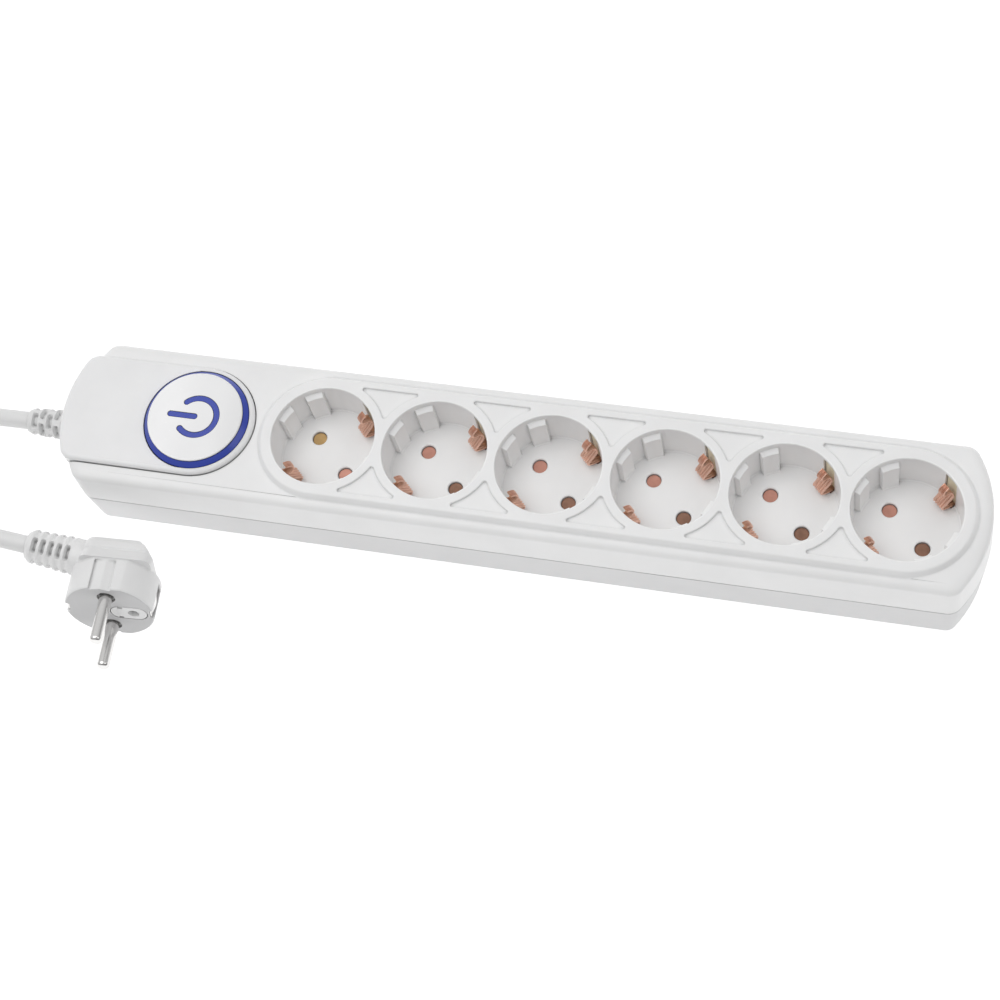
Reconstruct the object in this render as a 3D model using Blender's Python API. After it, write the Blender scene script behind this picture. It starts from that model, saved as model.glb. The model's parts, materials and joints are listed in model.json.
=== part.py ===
"""A six-socket power strip with a push switch, its cord and its angled plug.

Every sub-part is one closed solid. Sizes below are in millimetres, and the meshes are in metres.
The strip stands on z = 0, its long side runs along X, and the cord leaves it towards -X.
"""

import math

import bmesh
import bpy
from mathutils import Matrix, Vector

MM = 0.001
GAP = 0.3  # clearance between pieces that touch in the real object

# Sockets
SOCKETS = 6
PITCH = 43.2
WELL_RADIUS = 19.75
WELL_DEPTH = 17.5
PIN_SPACING = 19.0
PIN_LINE = math.radians(135)
PIN_HOLE_RADIUS = 2.6
CUP_WALL = 2.25
FLOOR = 2.0

# Housing
HEIGHT = 40.0
PARTING = 20.5
SHOULDER = 38.0
HALF_WIDTH = 29.6
WALL = 2.4
BOW = 50.0
CORNER = 6.0
RIGHT_REACH = 138.5  # from the middle of the sockets to the right end
LEFT_REACH = 210.5
NOSE_REACH = 212.0
GLAND_REACH = 233.0
MIDDLE = (GLAND_REACH - RIGHT_REACH) / 2
RIGHT = MIDDLE + RIGHT_REACH
LEFT = MIDDLE - LEFT_REACH
PLATEAU_RADIUS = 23.8
PLATEAU_FOOT = 25.2

# Switch
BUTTON_X = MIDDLE - 158.0
BUTTON_RADIUS = 20.3
PANEL_HALF = 22.4
PANEL_BOTTOM = 33.8
SWITCH_TOP = 28.5
SWITCH_BOTTOM = 8.0

# Contacts and wiring
STRIP_METAL = 0.6
RAIL_Y = PIN_SPACING / 2 * math.sin(PIN_LINE)
WIRE_RADIUS = 1.15

# Cord and plug
CORD_RADIUS = 3.5
CORD_HEIGHT = 19.0
COIL_CENTRE = Vector((-279.0, -20.0))
COIL_RADIUS = 38.5
COIL_PITCH = 7.3
COIL_TURNS = 5.6  # wound inwards on the lower layer and outwards on the upper one
COIL_LAYERS = 2
COIL_SPREAD = COIL_PITCH * COIL_TURNS / 4  # from the middle radius to the outer turn
COIL_OUTER = COIL_RADIUS + COIL_SPREAD + CORD_RADIUS + 0.1
LEAD_TURN = math.radians(66.6)  # where the lead runs onto the coil's outer turn
TAIL_TURN = math.radians(284)  # where the tail leaves it
PLUG_RADIUS = 17.0
PLUG_FLAT = 15.9
PIN_LENGTH = 19.0
PIN_RADIUS = 2.4
PLUG_FACE = (-131.1, -73.6, 19.8)
PLUG_YAW = math.radians(7)
PLUG_TILT = math.radians(9.5)
PLUG_ROLL = math.radians(-8)
RELIEF_START = Vector((-8.8, 0, -20.9))  # in the plug's own frame, as PLUG_RADIUS is
RELIEF_END = Vector((-36.4, 0, -25.3))

RAIL_ENDS = (MIDDLE - PITCH * (SOCKETS - 1) / 2 - 13, MIDDLE + PITCH * (SOCKETS - 1) / 2 + 10.5)
SOCKET_X = [MIDDLE + (i - (SOCKETS - 1) / 2) * PITCH for i in range(SOCKETS)]
GAP_X = [x + PITCH / 2 for x in SOCKET_X[:-1]]
SCREW_SPOTS = [(GAP_X[i], side * 20.5) for i in (0, 2, 4) for side in (-1, 1)]

COLOURS = {
    "white plastic": (0.86, 0.86, 0.85, 1),
    "grey plastic": (0.45, 0.46, 0.48, 1),
    "blue lens": (0.05, 0.08, 0.42, 1),
    "copper": (0.72, 0.38, 0.25, 1),
    "steel": (0.62, 0.62, 0.64, 1),
    "nickel": (0.75, 0.74, 0.72, 1),
    "cord white": (0.78, 0.78, 0.77, 1),
    "brown": (0.22, 0.10, 0.05, 1),
    "blue wire": (0.05, 0.15, 0.55, 1),
    "green wire": (0.25, 0.50, 0.08, 1),
    "amber": (0.85, 0.45, 0.15, 1),
}
METALS = ("copper", "steel", "nickel")


# ---------------------------------------------------------------- meshes

def material(name):
    found = bpy.data.materials.get(name)
    if found:
        return found
    made = bpy.data.materials.new(name)
    made.use_nodes = True
    made.diffuse_color = COLOURS[name]
    shader = made.node_tree.nodes["Principled BSDF"]
    shader.inputs["Base Color"].default_value = COLOURS[name]
    shader.inputs["Roughness"].default_value = 0.3
    shader.inputs["Metallic"].default_value = 1.0 if name in METALS else 0.0
    return made


def solid(name, points, faces, coat="white plastic"):
    """A mesh object from points in millimetres, with its faces turned outwards."""
    mesh = bpy.data.meshes.new(name)
    mesh.from_pydata([Vector(p) * MM for p in points], [], faces)
    shape = bmesh.new()
    shape.from_mesh(mesh)
    bmesh.ops.recalc_face_normals(shape, faces=shape.faces)
    shape.to_mesh(mesh)
    shape.free()
    mesh.materials.append(material(coat))
    made = bpy.data.objects.new(name, mesh)
    bpy.context.scene.collection.objects.link(made)
    return made


def loft(name, rings, coat="white plastic", closed=False):
    """Skins rings that have the same number of points, and caps the two ends."""
    count = len(rings[0])
    points = [p for ring in rings for p in ring]
    faces = []
    steps = len(rings) if closed else len(rings) - 1
    for k in range(steps):
        low = k * count
        high = (k + 1) % len(rings) * count
        for i in range(count):
            j = (i + 1) % count
            faces.append((low + i, low + j, high + j, high + i))
    if not closed:
        faces.append(tuple(range(count)))
        faces.append(tuple((len(rings) - 1) * count + i for i in range(count)))
    return solid(name, points, faces, coat)


def at_height(outline, z):
    return [(x, y, z) for x, y in outline]


def prism(name, outline, bottom, top, coat="white plastic"):
    return loft(name, [at_height(outline, bottom), at_height(outline, top)], coat)


def circle(x, y, radius, count=48):
    turns = [2 * math.pi * k / count for k in range(count)]
    return [(x + radius * math.cos(t), y + radius * math.sin(t)) for t in turns]


def cylinder(name, x, y, radius, bottom, top, coat="white plastic", count=48):
    return prism(name, circle(x, y, radius, count), bottom, top, coat)


def turned(name, profile, count=32, coat="white plastic", closed=False):
    """Turns (radius, height) pairs about Z. A closed profile gives a ring."""
    rings = [at_height(circle(0, 0, radius, count), z) for radius, z in profile]
    return loft(name, rings, coat, closed)


def box(name, low, high, coat="white plastic"):
    outline = [(low[0], low[1]), (high[0], low[1]), (high[0], high[1]), (low[0], high[1])]
    return prism(name, outline, low[2], high[2], coat)


def move(made, matrix):
    """Moves the mesh by a matrix whose lengths are in millimetres."""
    matrix = matrix.copy()
    matrix.translation *= MM
    made.data.transform(matrix)
    return made


def shift(made, x, y, z):
    return move(made, Matrix.Translation((x, y, z)))


def along_x(made, x, y, z):
    """Lays a shape turned about Z along X, with its top end towards +X."""
    return move(made, Matrix.Translation((x, y, z)) @ Matrix.Rotation(math.pi / 2, 4, "Y"))


def combine(made, other, operation):
    """Applies one exact Boolean and removes the other object."""
    modifier = made.modifiers.new("combine", "BOOLEAN")
    modifier.solver = "EXACT"
    modifier.operation = operation
    modifier.object = other
    graph = bpy.context.evaluated_depsgraph_get()
    result = bpy.data.meshes.new_from_object(made.evaluated_get(graph))
    made.modifiers.clear()
    made.data = result
    bpy.data.objects.remove(other)
    return made


def add(made, *others):
    for other in others:
        combine(made, other, "UNION")
    return made


def cut(made, *others):
    for other in others:
        combine(made, other, "DIFFERENCE")
    return made


def joined(shapes):
    """Several separate shapes as one mesh, so that one Boolean handles them all."""
    first = shapes[0]
    shape = bmesh.new()
    for other in shapes:
        shape.from_mesh(other.data)
    shape.to_mesh(first.data)
    shape.free()
    for other in shapes[1:]:
        bpy.data.objects.remove(other)
    return first


def smooth(made, angle=35):
    """Shades round faces smooth and keeps the edges sharper than the angle."""
    mesh = made.data
    mesh.shade_smooth()
    mesh.set_sharp_from_angle(angle=math.radians(angle))
    return made


def set_origin(made, x, y, z):
    """Moves the object's origin without moving its shape."""
    spot = Vector((x, y, z)) * MM
    made.data.transform(Matrix.Translation(spot - made.location).inverted())
    made.location = spot
    return made


# ---------------------------------------------------------------- outlines

def bowed_end(middle, half, bow, corner, side):
    """One bowed end with two rounded corners, from its -side corner to its +side corner."""
    reach = math.sqrt((bow - corner) ** 2 - (half - corner) ** 2)
    centre = middle - side * bow
    spread = math.atan2(half - corner, reach)
    points = []
    for k in range(4):
        turn = -math.pi / 2 + (math.pi / 2 - spread) * k / 4
        x = centre + side * (reach + corner * math.cos(turn))
        points.append((x, corner - half + corner * math.sin(turn)))
    for k in range(9):
        turn = spread * (k / 4 - 1)
        points.append((centre + side * bow * math.cos(turn), bow * math.sin(turn)))
    points += [(x, -y) for x, y in reversed(points[:4])]
    return points if side > 0 else [(x, -y) for x, y in points]


def housing_outline(inset):
    """The housing's plan, drawn in by the inset from its widest line."""
    corner = CORNER - min(inset, CORNER - 2)
    right = bowed_end(RIGHT - inset, HALF_WIDTH - inset, BOW - inset, corner, 1)
    left = bowed_end(LEFT + inset, HALF_WIDTH - inset, BOW - inset, corner, -1)
    return right + left


def panel_outline(inset):
    """The switch panel's plan: a bowed nose on the left and a half circle on the right."""
    half = PANEL_HALF - inset
    turns = [math.pi * (k / 20 - 0.5) for k in range(21)]
    right = [(BUTTON_X + half * math.cos(t), half * math.sin(t)) for t in turns]
    nose = bowed_end(MIDDLE - NOSE_REACH + inset, half, BOW - inset, CORNER - inset / 2, -1)
    return right + nose


def stadium(radius, count=16):
    """Half circles about the first and the last socket, joined by straight sides."""
    turns = [math.pi * (k / count - 0.5) for k in range(count + 1)]
    right = [(SOCKET_X[-1] + radius * math.cos(t), radius * math.sin(t)) for t in turns]
    left = [(SOCKET_X[0] - radius * math.cos(t), -radius * math.sin(t)) for t in turns]
    return right + left


def rounded_corner(before, corner, after, radius, count=3):
    """An arc that rounds a corner between two straight directions."""
    spot = Vector(corner)
    first = (Vector(before) - spot).normalized()
    second = (Vector(after) - spot).normalized()
    half = first.angle(second) / 2
    middle = (first + second).normalized()
    centre = spot + middle * radius / math.sin(half)
    start = spot + first * radius / math.tan(half) - centre
    end = spot + second * radius / math.tan(half) - centre
    blend = [start.slerp(end, k / count) for k in range(count + 1)]
    return [tuple(centre + step) for step in blend]


def pocket_outline(x, side):
    """The three-cornered pocket between two sockets, with sides that follow their rims."""
    ring = WELL_RADIUS + 3.5
    top = PLATEAU_RADIUS - 2.1
    half = PITCH / 2
    outer_x = half - math.sqrt(ring**2 - top**2)
    inner_y = math.sqrt(ring**2 - half**2)
    low = math.atan2(inner_y, half)
    high = math.atan2(top, half - outer_x)
    arc = [low + (high - low) * k / 5 for k in range(6)]
    right = [(half - ring * math.cos(t), ring * math.sin(t)) for t in arc]
    left = [(-px, py) for px, py in reversed(right)]
    bottom = rounded_corner(left[-2], right[0], right[1], 1.2)
    upper_right = rounded_corner(right[-2], right[-1], left[0], 1.5)
    upper_left = [(-px, py) for px, py in reversed(upper_right)]
    points = bottom + right[2:-2] + upper_right + upper_left + left[2:-2]
    return [(x + px, side * py) for px, py in points][::side]


def capsule(start, end, width, count=6):
    """A straight stroke with round ends."""
    run = Vector(end) - Vector(start)
    angle = math.atan2(run.y, run.x)
    points = []
    for spot, first in ((end, angle - math.pi / 2), (start, angle + math.pi / 2)):
        for k in range(count + 1):
            turn = first + math.pi * k / count
            points.append((spot[0] + width / 2 * math.cos(turn), spot[1] + width / 2 * math.sin(turn)))
    return points


def arc_stroke(radius, half_sweep, width, count=18):
    """A round stroke about the origin, open towards -X, with round ends."""
    turns = [half_sweep * (2 * k / count - 1) for k in range(count + 1)]
    outer = [((radius + width / 2) * math.cos(t), (radius + width / 2) * math.sin(t)) for t in turns]
    inner = [((radius - width / 2) * math.cos(t), (radius - width / 2) * math.sin(t)) for t in turns]

    def end(turn, way):
        spot = Vector((math.cos(turn), math.sin(turn))) * radius
        steps = [turn + way * math.pi * k / 4 for k in range(1, 4)]
        return [(spot.x + width / 2 * math.cos(s), spot.y + width / 2 * math.sin(s)) for s in steps]

    return outer + end(half_sweep, 1) + inner[::-1] + end(-half_sweep, -1)[::-1]


def strip(name, centre, thickness, widths, coat="copper"):
    """Bent strip metal: a centre line of (x, z) points, with its width along Y at each point."""
    spots = [Vector(p) for p in centre]
    rings = []
    for k, spot in enumerate(spots):
        before = (spot - spots[k - 1]).normalized() if k else None
        after = (spots[k + 1] - spot).normalized() if k + 1 < len(spots) else None
        run = ((before or after) + (after or before)).normalized()
        side = Vector((-run.y, run.x))
        ahead = after or before
        side *= thickness / 2 / max(0.3, side.dot(Vector((-ahead.y, ahead.x))))
        half = widths[k] / 2
        ring = []
        for way, across in ((1, half), (1, -half), (-1, -half), (-1, half)):
            point = spot + way * side
            ring.append((point.x, across, point.y))
        rings.append(ring)
    return loft(name, rings, coat)


def smooth_route(points, spacing):
    """Points at an even spacing on a smooth curve through the given ones."""
    spots = [Vector(p) for p in points]
    ends = [2 * spots[0] - spots[1]] + spots + [2 * spots[-1] - spots[-2]]
    fine = []
    for a, b, c, d in zip(ends, ends[1:], ends[2:], ends[3:]):
        for k in range(40):
            t = k / 40
            fine.append(
                0.5 * (2 * b + (c - a) * t + (2 * a - 5 * b + 4 * c - d) * t**2
                       + (3 * b - a - 3 * c + d) * t**3)
            )
    fine.append(spots[-1])
    length = sum((q - p).length for p, q in zip(fine, fine[1:]))
    count = max(2, round(length / spacing))
    route = [fine[0]]
    walked = 0.0
    for p, q in zip(fine, fine[1:]):
        walked += (q - p).length
        if walked >= length * len(route) / count - 1e-6 and len(route) < count:
            route.append(q)
    return route + [fine[-1]]


def tube(name, points, radius, coat, spacing):
    """A round cord or wire along a smooth curve through the points."""
    curve = bpy.data.curves.new(name, "CURVE")
    curve.dimensions = "3D"
    curve.bevel_depth = radius * MM
    curve.bevel_resolution = 3 if radius > 2 else 2
    curve.use_fill_caps = True
    route = smooth_route(points, spacing)
    line = curve.splines.new("POLY")
    line.points.add(len(route) - 1)
    for point, spot in zip(line.points, route):
        point.co = (*(spot * MM), 1)
    line.use_smooth = True
    curve.materials.append(material(coat))
    made = bpy.data.objects.new(name, curve)
    bpy.context.scene.collection.objects.link(made)
    return made


# ---------------------------------------------------------------- housing

def around_well(shape, x, angle):
    """Turns a shape drawn along +X about a socket's middle."""
    return move(shape, Matrix.Translation((x, 0, 0)) @ Matrix.Rotation(angle, 4, "Z"))


def pin_spots(x):
    reach = Vector((math.cos(PIN_LINE), math.sin(PIN_LINE))) * PIN_SPACING / 2
    return [(x + reach.x, reach.y), (x - reach.x, -reach.y)]


def wells():
    """What is cut for the sockets: one round well each."""
    floor = HEIGHT - WELL_DEPTH
    return joined([cylinder("well", x, 0, WELL_RADIUS, floor, HEIGHT + 1, count=40) for x in SOCKET_X])


def guide_ribs():
    """Two pairs of ribs in each well, on both sides of the pin line."""
    ribs = []
    floor = HEIGHT - WELL_DEPTH
    inner, outer = WELL_RADIUS - 2, WELL_RADIUS + 1
    for x in SOCKET_X:
        for middle in (PIN_LINE, PIN_LINE + math.pi):
            for side in (-1, 1):
                rib = loft("rib", [[(inner, y, floor - 1), (outer, y, floor - 1),
                                    (outer, y, HEIGHT - 2.6), (inner, y, HEIGHT - 3.6)]
                                   for y in (-3.4, 3.4)])
                ribs.append(around_well(rib, x, middle + side * math.radians(19.5)))
    return joined(ribs)


def clip_slots():
    """A slot in the wall and the floor of each well for each earth clip."""
    slots = []
    floor = HEIGHT - WELL_DEPTH
    for x in SOCKET_X:
        for turn in (PIN_LINE - math.pi / 2, PIN_LINE + math.pi / 2):
            slot = box("slot", (17.6, -3.1, floor - FLOOR - 1), (WELL_RADIUS + 2.9, 3.1, HEIGHT - 1.2))
            slots.append(around_well(slot, x, turn))
    return joined(slots)


def build_top_cover():
    made = loft("top_cover", [
        at_height(housing_outline(0.0), PARTING),
        at_height(housing_outline(0.4), SHOULDER - 2.4),
        at_height(housing_outline(1.0), SHOULDER - 1.2),
        at_height(housing_outline(2.2), SHOULDER - 0.4),
        at_height(housing_outline(4.4), SHOULDER),
    ])
    cavity = loft("cavity", [
        at_height(housing_outline(WALL), PARTING - 1),
        at_height(housing_outline(WALL + 0.4), SHOULDER - WALL),
    ])
    cut(made, cavity)
    plateau = loft("plateau", [
        at_height(stadium(PLATEAU_FOOT), SHOULDER - 1.2),
        at_height(stadium(PLATEAU_FOOT), SHOULDER),
        at_height(stadium(PLATEAU_RADIUS + 0.25), HEIGHT - 0.3),
        at_height(stadium(PLATEAU_RADIUS - 0.1), HEIGHT),
    ])
    add(made, plateau)
    cup_radius = WELL_RADIUS + CUP_WALL
    bottom = HEIGHT - WELL_DEPTH - FLOOR
    for x in SOCKET_X:
        add(made, cylinder("cup", x, 0, cup_radius, bottom, SHOULDER - 0.7, count=24))
    bosses = [cylinder("boss", x, y, 3.4, 9 + GAP, SHOULDER - 1, count=12) for x, y in SCREW_SPOTS]
    add(made, joined(bosses))
    cut(made, wells())
    add(made, guide_ribs())
    cut(made, clip_slots())
    holes = [cylinder("hole", x, y, PIN_HOLE_RADIUS, bottom - 1, bottom + 4, count=14)
             for centre in SOCKET_X for x, y in pin_spots(centre)]
    cut(made, joined(holes))
    pockets = [prism("pocket", pocket_outline(x, side), HEIGHT - 1, HEIGHT + 1)
               for x in GAP_X for side in (-1, 1)]
    cut(made, joined(pockets))
    pilots = [cylinder("pilot", x, y, 1.75, 8, 22, count=8) for x, y in SCREW_SPOTS]
    cut(made, joined(pilots))
    cut(made, prism("notch", panel_outline(-GAP), PANEL_BOTTOM - GAP, HEIGHT + 2))
    cut(made, along_x(turned("exit", [(5.4, 0), (5.4, 12)], 20), LEFT - 6, 0, CORD_HEIGHT))
    return smooth(made)


def keyhole(x):
    """A blind hanging slot on the underside: a round for the screw head and a slot for its neck."""
    head = cylinder("head", x - 3, 0, 3.8, -1, 3.4, count=18)
    neck = prism("neck", capsule((x - 3, 0), (x + 3, 0), 4.2), -1, 3.4)
    return head, neck


def build_bottom_cover():
    top = PARTING - GAP
    made = loft("bottom_cover", [
        at_height(housing_outline(2.2), 0),
        at_height(housing_outline(1.4), 0.4),
        at_height(housing_outline(1.0), 1.4),
        at_height(housing_outline(0.1), top),
    ])
    cut(made, loft("cavity", [
        at_height(housing_outline(WALL + 1.2), WALL),
        at_height(housing_outline(WALL + 0.3), top + 1),
    ]))
    lip = prism("lip", housing_outline(WALL + GAP), top - 4, top + 2)
    cut(lip, prism("inside", housing_outline(WALL + GAP + 1.1), top - 5, top + 3))
    add(made, lip)
    for y in (-11.3, -2.4, 2.4, 11.3):
        add(made, box("guide", (RAIL_ENDS[0], y - 0.7, 2), (RAIL_ENDS[1], y + 0.7, 9)))
    posts = [cylinder("post", x, y, 4.3, 2, 9, count=12) for x, y in SCREW_SPOTS]
    add(made, joined(posts))
    cut(made, joined([cylinder("sink", x, y, 3.1, -1, 5, count=12) for x, y in SCREW_SPOTS]))
    cut(made, joined([cylinder("through", x, y, 1.75, 4, 10, count=8) for x, y in SCREW_SPOTS]))
    clamp_x = LEFT + 13
    add(made, box("saddle", (clamp_x - 2.5, -12, 2), (clamp_x + 2.5, 12, CORD_HEIGHT - CORD_RADIUS - GAP)))
    add(made, joined([cylinder("post", clamp_x, y, 3.2, 3, 22.5, count=12) for y in (-8.5, 8.5)]))
    cut(made, joined([cylinder("pilot", clamp_x, y, 1.5, 12, 24, count=8) for y in (-8.5, 8.5)]))
    ear_posts = [cylinder("post", BUTTON_X, y, 3.0, 2, SWITCH_BOTTOM - GAP, count=12) for y in (-16.5, 16.5)]
    add(made, joined(ear_posts))
    cut(made, joined([cylinder("pilot", BUTTON_X, y, 1.5, 4, 9, count=8) for y in (-16.5, 16.5)]))
    for x in (LEFT + 28, RIGHT - 10.2):
        add(made, prism("pad", capsule((x - 3, 0), (x + 3, 0), 10.6), 1, 5.4))
        cut(made, *keyhole(x))
    cut(made, along_x(turned("exit", [(5.4, 0), (5.4, 12)], 20), LEFT - 6, 0, CORD_HEIGHT))
    return smooth(made)


def build_cover_screws():
    for k, (x, y) in enumerate(SCREW_SPOTS):
        profile = [(2.2, 3.0), (2.7, 3.4), (2.7, 4.7), (1.4, 4.7), (1.4, 19.4), (0.7, 20.4)]
        made = turned(f"cover_screw_{k + 1}", profile, 12, "steel")
        cut(made, box("slot", (-3, -0.4, 2), (3, 0.4, 3.9)))
        smooth(shift(made, x, y, 0))


# ---------------------------------------------------------------- switch

def build_switch_panel():
    made = loft("switch_panel", [
        at_height(panel_outline(0.0), PANEL_BOTTOM),
        at_height(panel_outline(0.0), HEIGHT - 1.1),
        at_height(panel_outline(0.15), HEIGHT - 0.6),
        at_height(panel_outline(0.5), HEIGHT - 0.2),
        at_height(panel_outline(1.1), HEIGHT),
    ])
    bore = BUTTON_RADIUS + GAP
    cut(made, cylinder("bore", BUTTON_X, 0, bore, PANEL_BOTTOM - 1, HEIGHT + 1, count=48))
    nose = bowed_end(MIDDLE - NOSE_REACH + 2, PANEL_HALF - 2, BOW - 2, CORNER - 2, -1)
    side = BUTTON_X - bore - 2.5
    cut(made, prism("hollow", nose + [(side, -PANEL_HALF + 2), (side, PANEL_HALF - 2)],
                    PANEL_BOTTOM - 1, HEIGHT - 2))
    for x in (LEFT + 14, BUTTON_X - 4):
        for way in (-1, 1):
            barb = [(x, way * (PANEL_HALF - 0.6)), (x + 5, way * (PANEL_HALF - 0.6)),
                    (x + 5, way * (PANEL_HALF + 1.4)), (x, way * (PANEL_HALF + 1.4))]
            add(made, prism("barb", barb, PANEL_BOTTOM + 0.2, SHOULDER - WALL - GAP))
    return smooth(made)


def symbol(width, bottom, top):
    """The power symbol's two strokes, turned so that its opening faces the cord."""
    ring = prism("arc", arc_stroke(8.5, math.radians(136), width), bottom, top)
    bar = prism("bar", capsule((-11.2, 0), (0.4, 0), width), bottom, top)
    return joined([ring, bar])


def build_button():
    lens = turned("button_lens", [
        (BUTTON_RADIUS, 34.8), (BUTTON_RADIUS, HEIGHT - 0.1), (18.55, 41.5), (18.3, 41.6),
    ], 48, "blue lens")
    cut(lens, cylinder("inside", 0, 0, BUTTON_RADIUS - 1.8, 33, 39.4, count=32))
    add(lens, symbol(2.2, 41.0, 42.5))
    cap = turned("button_cap", [(18.4, 41.9), (18.4, 42.3), (18.1, 42.6)], 48)
    cut(cap, symbol(2.8, 41, 44))
    for made in (lens, cap):
        shift(made, BUTTON_X, 0, 0)
        smooth(made)
        set_origin(made, BUTTON_X, 0, HEIGHT)


def build_switch():
    x = BUTTON_X
    housing = box("switch_housing", (x - 15, -13, SWITCH_BOTTOM), (x + 15, 13, SWITCH_TOP), "grey plastic")
    for way in (-1, 1):
        add(housing, box("ear", (x - 4, way * 16 - 4, SWITCH_BOTTOM), (x + 4, way * 16 + 4, SWITCH_BOTTOM + 2)))
    cut(housing, box("inside", (x - 13.4, -11.4, SWITCH_BOTTOM - 1), (x + 13.4, 11.4, SWITCH_TOP - 1.6)))
    cut(housing, cylinder("guide", x, 0, 4.4, SWITCH_TOP - 3, SWITCH_TOP + 1, count=32))
    cut(housing, joined([cylinder("hole", x, y, 1.5, 7, 11, count=12) for y in (-16.5, 16.5)]))

    plunger = cylinder("switch_plunger", x, 0, 4.0, 16, 39.1, "grey plastic", 32)
    add(plunger, box("foot", (x - 10, -6.8, 15), (x + 10, 6.8, 17.3)))
    cut(plunger, box("cam", (x + 2.8, -1.7, 18), (x + 5, 1.7, 25)))

    for name, y in (("live", 4.5), ("neutral", -4.5)):
        bridge = box(f"contact_bridge_{name}", (x - 8.5, y - 2, 13.9), (x + 8.5, y + 2, 14.7), "copper")
        set_origin(bridge, x, y, 14.7)
        for way, end in ((-1, "in"), (1, "out")):
            bends = [(5, 10.2), (9.4, 10.2), (9.4, 7.3), (22, 7.3)]
            tab = strip(f"terminal_{name}_{end}", bends, 0.8, [4] * 4)
            turn = Matrix.Rotation(math.pi if way < 0 else 0, 4, "Z")
            move(tab, Matrix.Translation((x, y, 0)) @ turn)

    ring = [(4.6, 28.8), (6.2, 28.8), (6.2, 39.1), (4.6, 39.1)]
    spring = turned("return_spring", ring, 24, "steel", closed=True)
    smooth(shift(spring, x, 0, 0))

    latch = strip("latch_pin", [(5.4, 26.4), (5.4, 19.2), (3.6, 19.2)], 0.9, [0.9] * 3, "steel")
    shift(latch, x, 0, 0)
    set_origin(latch, x + 5.4, 0, 26)

    lamp = turned("indicator_lamp", [(2.2, 28.8), (2.2, 32.4), (1.6, 33.6), (0.8, 34.1)], 20, "amber")
    smooth(shift(lamp, x - 10, 0, 0))

    for k, y in enumerate((-16.5, 16.5)):
        profile = [(1.2, 5), (1.2, 10.3), (2.3, 10.3), (2.3, 11.3), (1.6, 11.9)]
        smooth(shift(turned(f"switch_screw_{k + 1}", profile, 16, "steel"), x, y, 0))
    smooth(housing)
    smooth(plunger)
    set_origin(plunger, x, 0, HEIGHT)


# ---------------------------------------------------------------- contacts

def build_rail(name, y):
    """A U channel of spring metal under a row of pin holes, pinched where it grips the pins."""
    half = [(2.6, 2.8), (3.0, 3.4), (2.9, 7.0), (2.1, 13.5), (2.4, 15.5), (3.1, 18.9)]
    outer = [(-a, z) for a, z in reversed(half)] + half
    metal = 0.7
    inner = [(a - metal, max(z, 2.8 + metal)) for a, z in half]
    profile = outer + inner[::-1] + [(-a, z) for a, z in inner]
    rings = [[(x, y + a, z) for a, z in profile] for x in RAIL_ENDS]
    return loft(name, rings, "copper")


def build_earth():
    rail = box("earth_rail", (RAIL_ENDS[0], -0.5, 12), (RAIL_ENDS[1], 0.5, 19.2), "copper")
    half = [(19.1, 19.9), (19.1, 22.8), (15.6, 25.4), (14.9, 26.6), (15.6, 27.8), (18.7, 29.4),
            (19.0, 30.2), (18.4, 31.0), (16.0, 32.2), (15.4, 33.5), (16.0, 35.0), (17.9, 36.7)]
    wide = [5.2] * 7 + [4.4] + [3.6] * 4
    centre = [(-r, z) for r, z in reversed(half)] + half
    for k, x in enumerate(SOCKET_X):
        bracket = strip(f"earth_bracket_{k + 1}", centre, STRIP_METAL, wide[::-1] + wide)
        around_well(bracket, x, PIN_LINE - math.pi / 2)
        smooth(bracket, 30)
    return rail


def build_wires():
    start = LEFT + 21.8
    end = RAIL_ENDS[0]
    rails = end + 4
    tab_in, tab_out = BUTTON_X - 22 - GAP, BUTTON_X + 22 + GAP
    for name, way, coat in (("live", 1, "brown"), ("neutral", -1, "blue wire")):
        route = [(start, way * 1.65, 18.0), (start + 3, way * 2.2, 17.0), (start + 6, way * 4.0, 11.0),
                 (tab_in - 1.5, way * 4.5, 7.8), (tab_in, way * 4.5, 7.3)]
        tube(f"wire_{name}_in", route, WIRE_RADIUS, coat, 2.5)
        route = [(tab_out, way * 4.5, 7.3), (tab_out + 3, way * 4.7, 7.2), (tab_out + 8, way * 6.0, 5.6),
                 (end - 2, way * RAIL_Y, 5.0), (rails, way * RAIL_Y, 5.0)]
        tube(f"wire_{name}_out", route, WIRE_RADIUS, coat, 2.5)
    route = [(start, 0, 20.8), (start + 2.5, 0.2, 20.9), (start + 5, 2, 21.4), (start + 12, 12, 22),
             (BUTTON_X - 14, 18.5, 20), (BUTTON_X + 14, 18.5, 18), (BUTTON_X + 28, 10, 16.5),
             (end - 5, 2, 15.7), (end - GAP, 0, 15.6)]
    tube("wire_earth", route, WIRE_RADIUS, "green wire", 4)


# ---------------------------------------------------------------- cord

def ring_slots(columns, radius_at, length, turn, stagger):
    """Cutters for four slots at each height round a strain relief that is turned about Z."""
    slots = []
    for k, z in enumerate(columns):
        for quarter in range(4):
            angle = turn + quarter * math.pi / 2 + (k % 2) * stagger
            slot = box("slot", (radius_at(z) - 1.1, -length / 2, z - 0.7),
                       (radius_at(z) + 2, length / 2, z + 0.7))
            slots.append(move(slot, Matrix.Rotation(angle, 4, "Z")))
    return joined(slots)


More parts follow.
